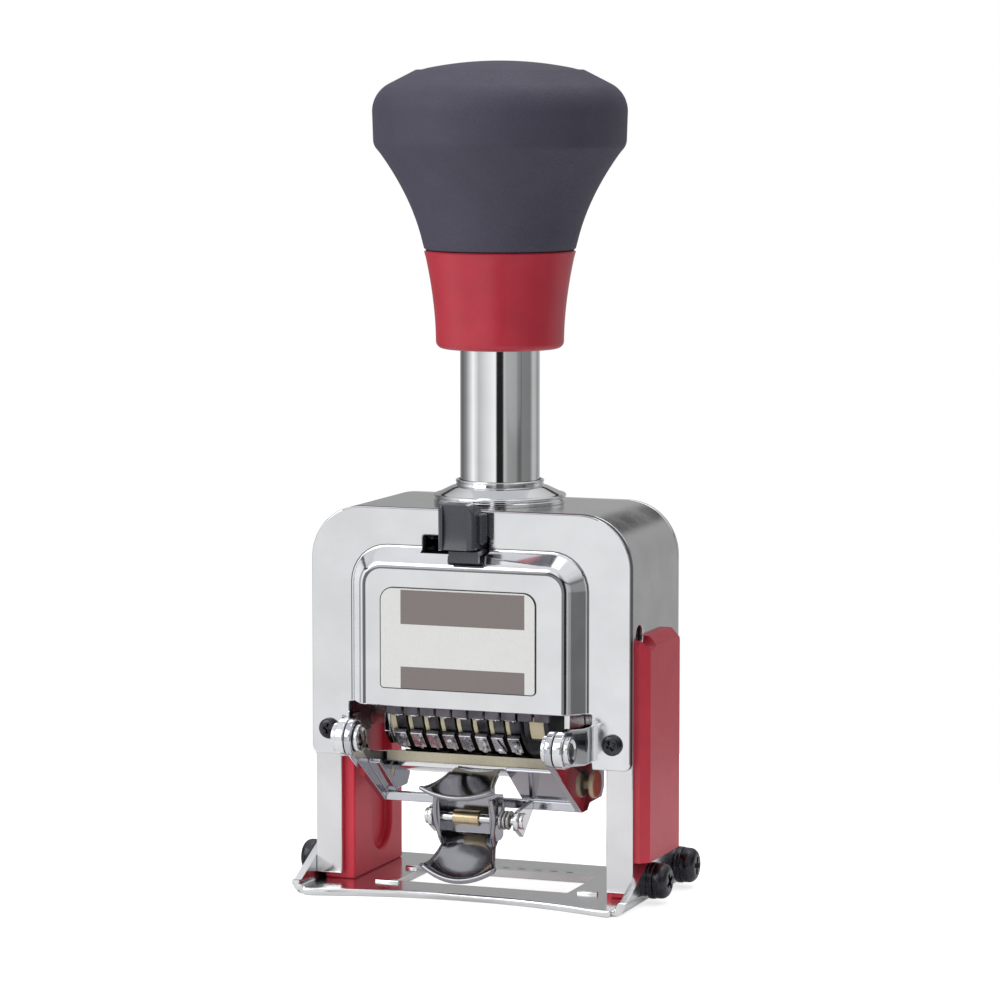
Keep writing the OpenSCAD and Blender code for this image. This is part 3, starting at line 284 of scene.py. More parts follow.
plain_steel = metal("plain_steel", (0.60, 0.60, 0.60), 0.26, 0.2 * MM, 0.15, stain=(0.42, 0.41, 0.40))
brass = metal("brass", (0.74, 0.60, 0.38), 0.24, 0.15 * MM, 0.2, scale=(8, 1, 1))
type_metal = metal("type_metal", (0.10, 0.10, 0.105), 0.30, 0.25 * MM, 0.3, stain=(0.05, 0.045, 0.05))
type_face = metal("type_face", (0.80, 0.80, 0.82), 0.20, 0.2 * MM, 0.2, stain=(0.42, 0.42, 0.44))
black_screw = metal("black_screw", (0.075, 0.075, 0.085), 0.24, 0.2 * MM, 0.12, stain=(0.035, 0.035, 0.04))
comb_steel = metal("comb_steel", (0.155, 0.14, 0.165), 0.38, 0.25 * MM, 0.2, stain=(0.10, 0.09, 0.105))
print("metals:", plain_steel.name, brass.name, type_metal.name, type_face.name, black_screw.name)

# %% [markdown]
# ## Felt
# The ink pad is a strip of pressed wool felt, dry and cream. It has no gloss. Short fibres lie in all
# directions, so two noises of different size make its surface.

# %% Mix the felt
def felt_cloth():
    """Cream wool: fine fibres over wider tufts."""
    made, shader = new_material("cream_felt", Roughness=0.95, Sheen_Weight=0.3, Specular_IOR_Level=0.1)
    fibres = speckle(made, 0.25 * MM, 8, (1, 1, 3))
    tufts = speckle(made, 1.6 * MM, 4)
    shade(made, shader, "Base Color", fibres, (0.25, (0.58, 0.52, 0.38)), (0.75, (0.82, 0.77, 0.61)))
    soft = bump(made, shader, tufts, 0.6, 0.4 * MM)
    bump(made, shader, fibres, 0.8, 0.15 * MM, below=soft)
    return made


felt = felt_cloth()
print("felt:", felt.name)

# %% [markdown]
# ## Floor and light
# The floor and the world are white to the camera. Chrome has no colour of its own, so the world gives it
# walls of many greys to show. A large lamp from the front left is the key, a weaker one fills from the right,
# and a third washes down from above.

# %% Lay the floor and hang the lamps
def white_to_camera(made, seen, other, diffuse=0.0, rest=0.0):
    """Mix two shaders: `seen` for rays that look straight at it, `other` for the rest. Shares of `seen` may
    be given to rays that left a matt surface and to all rays."""
    path = add(made, "ShaderNodeLightPath")
    bounced = reckon(made, "MULTIPLY_ADD", [path, "Is Diffuse Ray"], diffuse, rest)
    either = reckon(made, "MAXIMUM", [path, "Is Camera Ray"], [bounced, 0])
    return add(made, "ShaderNodeMixShader", (0, [either, 0]), (1, [other, 0]), (2, [seen, 0]))


def lay_floor():
    """A round matt floor that glows white to the camera and keeps the machine's shadow."""
    bpy.ops.mesh.primitive_circle_add(vertices=96, radius=170 * MM, fill_type="NGON",
                                      location=(0, 0, -0.02 * MM))
    floor = bpy.context.object
    floor.name = "floor"
    made, shader = new_material("pale_floor", Base_Color=(0.80, 0.80, 0.80, 1), Roughness=0.7)
    glow = add(made, "ShaderNodeEmission", Color=(1, 1, 1, 1), Strength=0.68)
    lit = add(made, "ShaderNodeAddShader", (0, [shader, 0]), (1, [glow, 0]))
    seen = white_to_camera(made, lit, shader, diffuse=0.35, rest=0.15)
    feed(made, made.node_tree.nodes["Material Output"], "Surface", [seen, 0])
    floor.data.materials.append(made)


def lamp(name, place, aim, size, power):
    """A square soft lamp that looks at a point."""
    data = bpy.data.lights.new(name, "AREA")
    data.size = size
    data.energy = power
    made = new_object(name, data)
    made.location = place
    made.rotation_euler = (Vector(aim) - Vector(place)).to_track_quat("-Z", "Y").to_euler()


def mixed(made, blend, share, *colours):
    """Two colours mixed by a share."""
    node = add(made, "ShaderNodeMix")
    node.data_type, node.blend_type = "RGBA", blend
    for place, given in zip((0, 6, 7), (share, *colours)):
        feed(made, node, place, given)
    return node


def studio_world():
    """White to the camera. To the rest it is a studio: white panels on the left, a dark slot behind the
    camera, a grey wall on the right and a pale one at the rear. A dark bar runs round between walls and
    ceiling, and draws a thin line along rounded edges. A stop of the walls is (turn, brightness), and turns
    run from 0 at the rear, by the left, to 1."""
    world = bpy.data.worlds.new("studio")
    world.use_nodes = True
    bpy.context.scene.world = world
    sky = world.node_tree.nodes["Background"]
    split = add(world, "ShaderNodeSeparateXYZ", (0, [add(world, "ShaderNodeTexCoord"), "Generated"]))
    back = reckon(world, "MULTIPLY", [split, "Y"], -1)
    turn = reckon(world, "ARCTAN2", [split, "X"], [back, 0])
    share = add(world, "ShaderNodeMapRange", Value=[turn, 0], From_Min=-pi, From_Max=pi)
    left_panels = [(0, 0.50), (0.17, 0.15), (0.235, 0.32), (0.285, 0.75), (0.32, 1.2), (0.38, 0.62),
                   (0.44, 0.86), (0.52, 1.15)]
    dark_slot = [(0.532, 0.02), (0.578, 0.02)]
    right_wall = [(0.592, 0.66), (0.62, 0.38), (0.69, 0.32), (0.708, 0.16), (0.73, 0.15), (0.745, 0.26),
                  (0.83, 0.24)]
    rear_wall = [(0.865, 0.60), (0.905, 0.56), (0.937, 0.33), (1, 0.50)]
    walls = ramp(world, share, left_panels + dark_slot + right_wall + rear_wall)
    ceiling = ramp(world, split, [(0.0, 0.0), (0.30, 0.0), (0.75, 1.0)], out="Z")
    room = mixed(world, "MIX", [ceiling, 0], [walls, 0], (0.85, 0.85, 0.87, 1))
    dark_bar = [(0, 1.0), (0.29, 1.0), (0.32, 0.05), (0.38, 0.05), (0.41, 1.0), (1, 1.0)]
    barred = mixed(world, "MULTIPLY", 1, [room, 2], [ramp(world, split, dark_bar, out="Z"), 0])
    feed(world, sky, "Color", [barred, 2])
    white = add(world, "ShaderNodeBackground", Color=(1, 1, 1, 1))
    feed(world, world.node_tree.nodes["World Output"], "Surface", [white_to_camera(world, white, sky), 0])


lay_floor()
studio_world()
lamp("key", place=(-0.75, -0.95, 0.75), aim=(0, 0, 0.08), size=0.9, power=5.5)
lamp("fill", place=(1.05, -0.55, 0.45), aim=(0, 0, 0.08), size=1.0, power=0.4)
lamp("top", place=(0.05, 0.25, 1.2), aim=(0, 0, 0.05), size=0.8, power=2.2)
bpy.context.scene.view_settings.view_transform = "Standard"

# %% [markdown]
# ## Modelling helpers
# Blender's operators act on what is selected. `pick` selects whole objects, and `choose` selects faces or
# edges of one object by a test on their place, so that a step by hand can be written down. A piece's
# measures are in millimetres where a helper says so, and every other place is in metres, as in the frame.

# %% Select, edit and finish
def pick(*pieces):
    """Select only these objects. The last is the active one."""
    if bpy.context.object and bpy.context.object.mode == "EDIT":
        bpy.ops.object.mode_set(mode="OBJECT")
    bpy.ops.object.select_all(action="DESELECT")
    for piece in pieces:
        piece.select_set(True)
    bpy.context.view_layer.objects.active = pieces[-1]


def choose(piece, kind, test):
    """In edit mode, select the faces or edges (kind "FACE" or "EDGE") that pass a test, and count them."""
    pick(piece)
    bpy.ops.object.mode_set(mode="EDIT")
    bpy.ops.mesh.select_mode(type=kind)
    bpy.ops.mesh.select_all(action="DESELECT")
    shape = bmesh.from_edit_mesh(piece.data)
    chosen = [part for part in (shape.faces if kind == "FACE" else shape.edges) if test(part)]
    for part in chosen:
        part.select_set(True)
    bmesh.update_edit_mesh(piece.data)
    return len(chosen)


def edit_all(piece, kind=None):
    """Into edit mode with everything selected. `kind` sets what is selected from there on."""
    pick(piece)
    bpy.ops.object.mode_set(mode="EDIT")
    if kind:
        bpy.ops.mesh.select_mode(type=kind)
    bpy.ops.mesh.select_all(action="SELECT")


def leave_edit():
    """Back to object mode."""
    bpy.ops.object.mode_set(mode="OBJECT")


def centre_of(part):
    """Middle of a face or an edge."""
    if isinstance(part, bmesh.types.BMFace):
        return part.calc_center_median()
    return (part.verts[0].co + part.verts[1].co) / 2


def level(edge, axis, value):
    """True where both ends of an edge lie at one level of an axis, to 0.03 mm."""
    return all(abs(v.co[axis] - value) < 0.03 * MM for v in edge.verts)


def fixed(piece):
    """Put a piece's place, turn and scale into its mesh."""
    pick(piece)
    bpy.ops.object.transform_apply(location=True, rotation=True, scale=True)
    return piece


def named(name):
    """Name the object that was just made, and give it back."""
    made = bpy.context.object
    made.name = name
    return made


def remove(piece):
    """Delete a piece that has done its work."""
    pick(piece)
    bpy.ops.object.delete()


def coated(piece, material):
    """Give a piece one material and no other."""
    piece.data.materials.clear()
    piece.data.materials.append(material)
    return piece


def modify(piece, kind, **settings):
    """Add a modifier, set it and apply it."""
    pick(piece)
    step = piece.modifiers.new(kind.lower(), kind)
    for name, value in settings.items():
        setattr(step, name, value)
    bpy.ops.object.modifier_apply(modifier=step.name)
    return piece


def soften(piece, width, segments, angle=32, clamp=False):
    """Round every sharp edge, `width` millimetres wide, as pressing, moulding and plating do."""
    return modify(piece, "BEVEL", width=width * MM, segments=segments, limit_method="ANGLE",
                  angle_limit=radians(angle), use_clamp_overlap=clamp, miter_outer="MITER_ARC")


def bevel_where(piece, test, width, segments, clamp=False):
    """Round the edges that pass a test, by `width` millimetres."""
    count = choose(piece, "EDGE", test)
    bpy.ops.mesh.bevel(offset=width * MM, segments=segments, profile=0.5, affect="EDGES", clamp_overlap=clamp)
    leave_edit()
    return count


def sink(piece, test, *steps):
    """Inset the faces that pass a test, step by step. A step is (width, depth) in millimetres."""
    choose(piece, "FACE", test)
    for width, depth in steps:
        bpy.ops.mesh.inset(thickness=width * MM, depth=depth * MM)
    leave_edit()


def taper(piece, x, y):
    """Make a piece's underside smaller across, by a factor each way."""
    choose(piece, "FACE", lambda f: f.normal.z < -0.9)
    bpy.ops.transform.resize(value=(x, y, 1))
    leave_edit()


def cut(piece, axis, place, keep=None):
    """Cut through a piece with a plane across one axis. With `keep` ("above" or "below") only that side
    stays, and is closed."""
    edit_all(piece)
    where, across = [0, 0, 0], [0, 0, 0]
    where[axis], across[axis] = place, (-1 if keep == "above" else 1)
    bpy.ops.mesh.bisect(plane_co=where, plane_no=across, clear_outer=bool(keep), use_fill=bool(keep))
    leave_edit()


def cut_out(piece, tool):
    """Take a tool's shape out of a piece, and remove the tool."""
    modify(piece, "BOOLEAN", object=tool, operation="DIFFERENCE", solver="EXACT")
    remove(tool)


def paint(piece, material, test):
    """Give the faces that pass a test another finish."""
    piece.data.materials.append(material)
    choose(piece, "FACE", test)
    piece.active_material_index = len(piece.data.materials) - 1
    bpy.ops.object.material_slot_assign()
    leave_edit()


def smooth(piece, angle=30):
    """Smooth shading, except across edges sharper than the angle."""
    pick(piece)
    bpy.ops.object.shade_smooth_by_angle(angle=radians(angle))
    return piece


def settle(piece, material, body, node, angle=30):
    """Finish a piece: smooth shading, material, body, and the solid that it stands for. Without a material
    it keeps those that it has."""
    smooth(fixed(piece), angle)
    modify(piece, "WEIGHTED_NORMAL", keep_sharp=True, weight=60)
    if material:
        coated(piece, material)
    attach(piece, body)
    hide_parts(node)
    print(piece.name, len(piece.data.polygons), "faces")


def copy_of(node, name, whole_faces=True):
    """An own copy of a solid, ready to be worked on. Its triangles are merged into whole faces if wanted."""
    piece = new_object(name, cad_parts[node].data.copy())
    edit_all(piece)
    bpy.ops.mesh.remove_doubles(threshold=0.003 * MM)
    if whole_faces:
        bpy.ops.mesh.dissolve_limited(angle_limit=radians(0.5))
    leave_edit()
    return piece


def dressed(node, name, material, body, width, segments=2):
    """A solid's own shape with its edges rounded and its finish on."""
    settle(soften(copy_of(node, name), width, segments), material, body, node, 32)


def bar(name, size, centre):
    """A box of a size in millimetres."""
    bpy.ops.mesh.primitive_cube_add(size=1, location=[c * MM for c in centre])
    piece = named(name)
    piece.scale = [s * MM for s in size]
    return fixed(piece)


def rod(name, radius, length, centre=(0, 0, 0), turn=(0, 0, 0), sides=48):
    """A round bar of a radius and a length in millimetres, upright unless it is turned."""
    bpy.ops.mesh.primitive_cylinder_add(vertices=sides, radius=radius * MM, depth=length * MM,
                                        location=[c * MM for c in centre], rotation=turn)
    return fixed(named(name))


# The turn that lays an upright bar along X
ALONG_X = (0, pi / 2, 0)


def joined(name, *pieces):
    """Join pieces into the last one."""
    pick(*pieces)
    bpy.ops.object.join()
    return named(name)


def twin(piece, name, place=(0, 0, 0), turn=(0, 0, 0), flip=False):
    """A copy with its own mesh, turned and set down at a place. `flip` mirrors it across X."""
    made = new_object(name, piece.data.copy())
    made.rotation_euler = turn
    made.location = place
    made.scale.x = -1 if flip else 1
    fixed(made)
    if flip:
        edit_all(made)
        bpy.ops.mesh.flip_normals()
        leave_edit()
    return made


# %% [markdown]
# ## The grip
# A knob that fills the palm. It is a turned shape, so its outline is drawn once, point by point, and spun
# round the stem. The outline flares from the collar to a short straight wall, rounds over a wide shoulder and
# ends in a groove round a slightly domed disc.

# %% Spin an outline round the stem
def turned(name, outline, steps=96):
    """Draw (radius, height) points in the X-Z plane by extruding one point, and spin them round the stem."""
    first = outline[0]
    bpy.ops.mesh.primitive_plane_add(size=MM, location=(first[0] * MM, stem.y, first[1] * MM))
    piece = fixed(named(name))
    edit_all(piece, "VERT")
    bpy.ops.mesh.merge(type="CENTER")
    for before, point in zip(outline, outline[1:]):
        step = ((point[0] - before[0]) * MM, 0, (point[1] - before[1]) * MM)
        bpy.ops.mesh.extrude_region_move(TRANSFORM_OT_translate={"value": step})
    bpy.ops.mesh.select_all(action="SELECT")
    bpy.ops.mesh.spin(steps=steps, angle=2 * pi, center=(0, stem.y, 0), axis=(0, 0, 1))
    bpy.ops.mesh.select_all(action="SELECT")
    bpy.ops.mesh.remove_doubles(threshold=0.002 * MM)
    bpy.ops.mesh.normals_make_consistent(inside=False)
    leave_edit()
    return piece


def arc(centre, radius, start, end, steps):
    """Points on an arc, from one angle in degrees to another."""
    turns = [radians(start + (end - start) * i / steps) for i in range(steps + 1)]
    return [(centre[0] + radius * cos(a), centre[1] + radius * sin(a)) for a in turns]


# %% The grip's outline, in millimetres above the machine's foot
grip_low, grip_top = levels("grip")[0], levels("grip_cap")[1]
grip_radius, cap_radius, stem_radius = half_width("grip"), half_width("grip_cap"), half_width("stem")
JOINT_RADIUS = 15.6
FLARE_HEIGHT = 19.6
SHOULDER_RADIUS = 6.4
SHOULDER_HEIGHT = 28.3
DOME = 1.9


def flare(h):
    """Radius of the grip, h above its joint with the collar."""
    return JOINT_RADIUS + 0.189 * h + 0.01333 * h * h


FLARE_STEPS, LID_STEPS = 12, 12
wall_foot = arc((grip_radius - 3.2, grip_low + FLARE_HEIGHT + 3), 3, -35, -2, 5)
shoulder = arc((grip_radius - SHOULDER_RADIUS, grip_low + SHOULDER_HEIGHT), SHOULDER_RADIUS, 2, 62, 12)
crown = grip_top - DOME
grip_outline = [(stem_radius + 0.1, grip_low), (JOINT_RADIUS - 0.5, grip_low)]
grip_outline.append((JOINT_RADIUS, grip_low + 0.35))
for i in range(1, FLARE_STEPS + 1):
    rise = FLARE_HEIGHT * i / FLARE_STEPS
    grip_outline.append((flare(rise), grip_low + rise))
grip_outline += wall_foot + shoulder
grip_outline += [(cap_radius + 0.5, crown + 0.02), (cap_radius + 0.12, crown - 0.25),
                 (cap_radius + 0.08, crown - 2.3)]
grip = turned("palm_grip", grip_outline, 128)
settle(grip, soft_grip, "plunger", "grip", 40)

dome_radius = (cap_radius ** 2 + DOME ** 2) / (2 * DOME)
lid_outline = [(cap_radius - 0.1, crown - 2.3), (cap_radius, crown - 0.5), (cap_radius - 0.25, crown - 0.05)]
for i in range(1, LID_STEPS + 1):
    radius = (cap_radius - 0.5) * (1 - i / LID_STEPS)
    lid_outline.append((max(radius, 0), grip_top - dome_radius + sqrt(dome_radius ** 2 - radius ** 2) - 0.03))
lid = turned("grip_lid", lid_outline, 128)
settle(lid, soft_grip, "plunger", "grip_cap", 40)

# %% [markdown]
# ## Collar, stem, nut and washer
# The red collar is turned the same way: straight near its lower lip, then flaring into the grip. The stem is
# a bright tube that disappears into a nut with a low cone and a washer on the case.

# %% Spin the collar and the bright pieces under it
collar_low = levels("collar")[0]
COLLAR_FOOT = 13.2
LIP = 1.5
collar_outline = [(stem_radius + 0.15, grip_low - 0.05), (stem_radius + 0.15, collar_low + 1.2)]
collar_outline += [(stem_radius + 0.5, collar_low + 0.1), (stem_radius + 1.2, collar_low)]
collar_outline += arc((COLLAR_FOOT - LIP, collar_low + LIP), LIP, -80, 0, 7)
for i in range(1, FLARE_STEPS + 1):
    share = i / FLARE_STEPS
    height = collar_low + LIP + (grip_low - collar_low - LIP) * share - (0.35 if share == 1 else 0)
    collar_outline.append((COLLAR_FOOT + (JOINT_RADIUS - COLLAR_FOOT) * share ** 1.8, height))
collar_outline.append((JOINT_RADIUS - 0.35, grip_low - 0.05))
collar = turned("red_collar", collar_outline, 112)
settle(collar, red_plastic, "plunger", "collar", 40)

tube_low, tube_top = levels("inner_frame")[1], levels("stem")[1]
tube_outline = [(0, tube_low), (stem_radius, tube_low), (stem_radius, tube_top), (0, tube_top)]
settle(turned("stem_tube", tube_outline), stem_chrome, "plunger", "stem")

washer_low, washer_top = levels("flange_washer")
washer_radius = half_width("flange_washer")
bore = stem_radius + 0.25
washer_outline = [(bore, washer_low), (washer_radius - 0.15, washer_low), (washer_radius, washer_low + 0.15)]
washer_outline += [(washer_radius, washer_top - 0.15), (washer_radius - 0.15, washer_top), (bore, washer_top)]
settle(turned("case_washer", washer_outline), mirror_chrome, "case", "flange_washer")

nut_top = levels("flange_nut")[1]
nut_outline = [(bore, washer_top), (washer_radius - 0.5, washer_top), (washer_radius - 0.5, washer_top + 0.2)]
nut_outline += arc((washer_radius - 0.35, washer_top + 0.55), 0.35, -90, 90, 6)
nut_outline += [(washer_radius - 0.9, washer_top + 1.05)]
nut_outline += [(stem_radius + 2.0, nut_top - 2.0), (stem_radius + 1.2, nut_top - 1.75),
                (stem_radius + 0.9, nut_top - 1.6)]
nut_outline += arc((stem_radius + 0.65, nut_top - 0.75), 0.3, -70, 90, 6)
nut_outline += [(bore, nut_top - 0.45), (bore, washer_top)]
settle(turned("stem_guide_nut", nut_outline), mirror_chrome, "case", "flange_nut")

# %% [markdown]
# ## The front plate
# One pressing: a flat rim, a raised panel with sloping sides, two hinge lugs and a slot. In the model its
# edges are knife sharp. A press can't do that, so the panel's rim gets a generous round, its foot a tighter
# one, and all other edges a small one. These rounds draw the bright and dark lines of the plate, and painted
# shade on a strip of each panel round and on the sheet's cut edges darkens the dark ones.

# %% Round the front plate
PLATE_SHEET = 1.8 * MM
PANEL_LOW_Z = 39.7 * MM
PANEL_HALF_X = 25.9 * MM
panel_face_y = high("name_badge").y
plate_face_y = low("case_band").y - PLATE_SHEET


def panel_rim(edge):
    """True on the edges round the panel's flat face."""
    return level(edge, 1, panel_face_y) and centre_of(edge).z > PANEL_LOW_Z


def panel_foot(edge):
    """True on the edges where the panel's slopes meet the flat plate."""
    place = centre_of(edge)
    return (level(edge, 1, plate_face_y) and abs(place.x) < PANEL_HALF_X and place.z > PANEL_LOW_Z
            and len(edge.link_faces) == 2 and 0.5 < edge.calc_face_angle(0) < 1.2)


def cut_edge(face):
    """True on the narrow faces round the plate's outline, where the sheet was cut. They get painted shade."""
    place, way = centre_of(face), face.normal
    return abs(way.y) < 0.4 and place.y > plate_face_y and (abs(place.x) > 24 * MM or place.z > 70 * MM)


def crease(nearest, furthest, low_y, high_y):
    """Test for faces of the panel's rounds whose tilt from the front, in degrees, is between two limits. They
    get painted shade.
    """
    def test(face):
        place, tilt = centre_of(face), degrees(acos(min(1, max(-1, -face.normal.y))))
        return (nearest < tilt < furthest and low_y < place.y < high_y and abs(place.x) < 27.5 * MM
                and place.z > PANEL_LOW_Z + 0.6 * MM)
    return test


front = copy_of("front_plate", "front_panel")
print("panel rim edges", bevel_where(front, panel_rim, 1.1, 5))
print("panel foot edges", bevel_where(front, panel_foot, 0.45, 3))
coated(soften(front, 0.3, 3, 50), satin_chrome)
# Painted shade on the cut edges of the sheet.
paint(front, edge_shade, cut_edge)
# Painted shade on a strip of the panel's rim round and of its foot round, as dark lines.
paint(front, shadowed, crease(6, 18, panel_face_y - 0.2 * MM, panel_face_y + 0.6 * MM))
paint(front, shadowed, crease(4, 24, plate_face_y - 0.5 * MM, plate_face_y + 0.05 * MM))
settle(front, None, "case", "front_plate")

# %% [markdown]
# ## Case band and back plate
# The band is a strip bent over the top and down both legs, with flanges turned in behind the plates. Its
# edges meet the plates in a fine groove, which the two small rounds leave between them.

# %% Round the band and the back plate
dressed("case_band", "case_strip", band_chrome, "case", 0.28, 3)
dressed("back_plate", "rear_plate", satin_chrome, "case", 0.4, 3)
dressed("guide_bush", "stem_bush", plain_steel, "case", 0.2)

# %% [markdown]
# ## The badge
# A thin printed plate: white, with two grey fields. The fields are faces of their own, cut out of the plate
# by six planes, and they carry a second finish. Its sides and a thin ring round its front are painted dark:
# painted shade of the shallow recess that it sits in.

# %% Print the badge
def printed(name, colour, gloss):
    """Screen-printed enamel: even, with a faint dot of the screen and a gloss that handling has clouded."""
    made, shader = new_material(name)
    dots = speckle(made, 0.16 * MM, 2)
    shade(made, shader, "Base Color", dots, (0.3, shaded(colour, 0.90)), (0.7, colour))
    worn = speckle(made, 3 * MM, 5)
    shade(made, shader, "Roughness", worn, (0.3, gloss), (0.7, gloss + 0.1))
    bump(made, shader, worn, 0.05, 0.1 * MM)
    return made


white_enamel = printed("white_enamel", (0.80, 0.80, 0.78), 0.30)
grey_print = printed("grey_print", (0.225, 0.195, 0.185), 0.34)
# Painted shade of the badge's recess: a near-black for its sides and a thin ring round its front.
recess_shade = printed("badge_recess_shade", (0.03, 0.028, 0.028), 0.5)
badge_low, badge_high = low("name_badge"), high("name_badge")
badge_size = badge_high - badge_low
badge_middle = (badge_low + badge_high) / 2
field_half = badge_size.x * 0.398
upper_field = (badge_low.z + badge_size.z * 0.64, badge_high.z - 0.5 * MM)
lower_field = (badge_low.z + 0.12 * MM, badge_low.z + badge_size.z * 0.222)


def corner_at(z):
    """Test for the two short edges at one level that run from front to back."""
    return lambda e: level(e, 2, z) and abs(e.verts[0].co.y - e.verts[1].co.y) > 0.1 * MM


def in_field(field):
    """Test for the badge's front faces inside a printed field, a pair of its lowest and highest level."""
    return lambda f: (f.normal.y < -0.9 and abs(centre_of(f).x) < field_half
                      and field[0] < centre_of(f).z < field[1])


badge = bar("bare_badge", badge_size / MM, badge_middle / MM)
bevel_where(badge, corner_at(badge_high.z), 2.8, 10)
bevel_where(badge, corner_at(badge_low.z), 0.9, 5)
sink(badge, lambda f: f.normal.y < -0.9, (0.2, 0))
coated(badge, white_enamel)
# Painted shade of the recess on the badge's sides and its outer ring.
paint(badge, recess_shade, lambda f: f.normal.y > -0.9 or f.calc_area() < 0.5 * badge_size.x * badge_size.z)
for place in (-field_half, field_half):
    cut(badge, 0, place)
for place in upper_field + lower_field:
    cut(badge, 2, place)
for field in (upper_field, lower_field):
    paint(badge, grey_print, in_field(field))
settle(badge, None, "case", "name_badge")

# %% [markdown]
# ## Screws
# All screws have the same head: a low dome with a cross let into it. One is modelled for each size. The cross
# is two crossed bars that taper towards their tips, cut out with a Boolean modifier, and a dark oxide finish
# leaves only a soft light on the rim.

# %% Model a cross-head screw
def cross_screw(name, radius, height, shank_radius, shank_length):
    """A screw whose head stands on z = 0 and points up."""
    head = rod(name, radius, height, (0, 0, height / 2), sides=64)
    bevel_where(head, lambda e: level(e, 2, height * MM), min(height * 0.8, radius * 0.45), 7)
    bevel_where(head, lambda e: level(e, 2, 0), 0.12, 2)
    deep = height * 0.62
    for turn in (0, pi / 2):
        cutter = bar("cutter", (radius * 1.4, radius * 0.34, deep * 2), (0, 0, height))
        taper(cutter, 0.45, 0.6)
        cutter.rotation_euler.z = turn
        cut_out(head, fixed(cutter))
    soften(head, 0.06, 2, 40, clamp=True)
    shank = rod("shank", shank_radius, shank_length, (0, 0, -shank_length / 2 + 0.02), sides=24)
    return joined(name, shank, head)


FACING = {"right": ALONG_X, "left": (0, -pi / 2, 0), "front": (pi / 2, 0, 0), "rear": (-pi / 2, 0, 0)}
SIDES = ((1, "right"), (-1, "left"))


def screw_set(name, screw, places, node):
    """Copies of a screw at (place, side that the head faces) pairs, joined to one piece of the case. Each is
    turned a little further than the one before."""
    copies = []
    for i, (place, way) in enumerate(places):
        spun = twin(screw, "spun", turn=(0, 0, 0.5 + 0.9 * i))
        copies.append(twin(spun, "copy", place, FACING[way]))
        remove(spun)
    remove(screw)
    settle(joined(name, *copies), black_screw, "case", node, 35)


# %% Set the screws
base_screw_z = middle("base_screws").z
base_screw_seat = high("base_washers").x
base_screw_head = (high("base_screws").x - base_screw_seat) / MM
base_places = [((side * base_screw_seat, stem.y + y * MM, base_screw_z), way)
               for side, way in SIDES for y in (-9, 9)]
big = cross_screw("big_screw", radius=3.6, height=base_screw_head, shank_radius=1.7, shank_length=6.5)
screw_set("foot_screws", big, base_places, "base_screws")

SMALL_RADIUS, SMALL_HEIGHT, SMALL_SHANK, BLOCK_HEIGHT = 2.2, 1.2, 1.3, 1.0
plate_x = high("plate_screws").x - SMALL_RADIUS * MM
plate_z = middle("plate_screws").z
plate_seats = ((low("plate_screws").y + SMALL_HEIGHT * MM, "front"),
               (high("plate_screws").y - SMALL_HEIGHT * MM, "rear"))
plate_places = [((side * plate_x, y, plate_z), way) for y, way in plate_seats for side in (1, -1)]
small = cross_screw("small_screw", SMALL_RADIUS, SMALL_HEIGHT, SMALL_SHANK, shank_length=3)
screw_set("cover_plate_screws", small, plate_places, "plate_screws")

block_seat = high("side_screws").x - BLOCK_HEIGHT * MM
block_places = [((side * block_seat, side_middle.y, side_middle.z), way) for side, way in SIDES]
side_small = cross_screw("side_screw", SMALL_RADIUS, BLOCK_HEIGHT, SMALL_SHANK, shank_length=2.4)
screw_set("block_screws", side_small, block_places, "side_screws")
dressed("base_washers", "foot_washers", black_screw, "case", 0.2, 2)

# %% [markdown]
# ## Base plate
# Sheet steel, with its sides bent up into ears. The bend shows as a bright roll along the side, and the front
# edge is rounded over because paper slides under it. So the long front edge gets a wide round and the rest a
# small one.

# %% Round the base plate
def front_edge(edge):
    """True on the level edges round the plate's front."""
    place = centre_of(edge)
    return (place.y < stem.y - 19 * MM and place.z < 2 * MM and len(edge.link_faces) == 2
            and abs(edge.verts[0].co.z - edge.verts[1].co.z) < 0.05 * MM and edge.calc_face_angle(0) > 1)


def stamped(place):
    """True in the row of marks stamped behind the window."""
    return abs(place.x) < 16 * MM and 7.2 * MM < place.y - stem.y < 8.1 * MM and place.z > MM


foot_plate = copy_of("base_plate", "foot_plate", whole_faces=False)
print("front edges:", bevel_where(foot_plate, front_edge, 0.6, 4))
bevel_where(foot_plate, lambda e: len(e.link_faces) == 2 and e.calc_face_angle(0) > 0.7
            and not stamped(centre_of(e)), 0.12, 2, clamp=True)
coated(foot_plate, plate_chrome)
# Painted shade in the stamped marks: their low faces get the dark edge chrome.
paint(foot_plate, edge_shade, lambda f: stamped(centre_of(f)) and centre_of(f).z < 1.5 * MM)
settle(foot_plate, None, "case", "base_plate")

# %% [markdown]
# ## Red guide blocks and side cover
# Moulded pieces have soft edges everywhere. Level with the wheels the blocks are painted darker: painted
# shade inside the case.
# The cover is a thick sheet with broad bevels along its edges and a round notch for the screw beside it.

# %% Round the red pieces
PAINTED_SHADE_Z = 32 * MM
for side in ("left", "right"):
    block = copy_of(side + "_guide_block", side + "_red_block")
    soften(block, 0.5, 4)
    # Above this level the block gets painted shade.
    cut(block, 2, PAINTED_SHADE_Z)
    coated(block, block_red)
    paint(block, painted_shade_red, lambda f: centre_of(f).z > PAINTED_SHADE_Z)
    settle(block, None, "case", side + "_guide_block", 32)

cover_low, cover_high = low("side_cover"), high("side_cover")
cover_middle = middle("side_cover")


def end_edge(side, z):
    """Test for the edge across the cover's sheet at its front (-1) or rear (1), at one level."""
    return lambda e: (level(e, 2, z) and abs(e.verts[0].co.x - e.verts[1].co.x) > MM
                      and (centre_of(e).y - cover_middle.y) * side > 0)


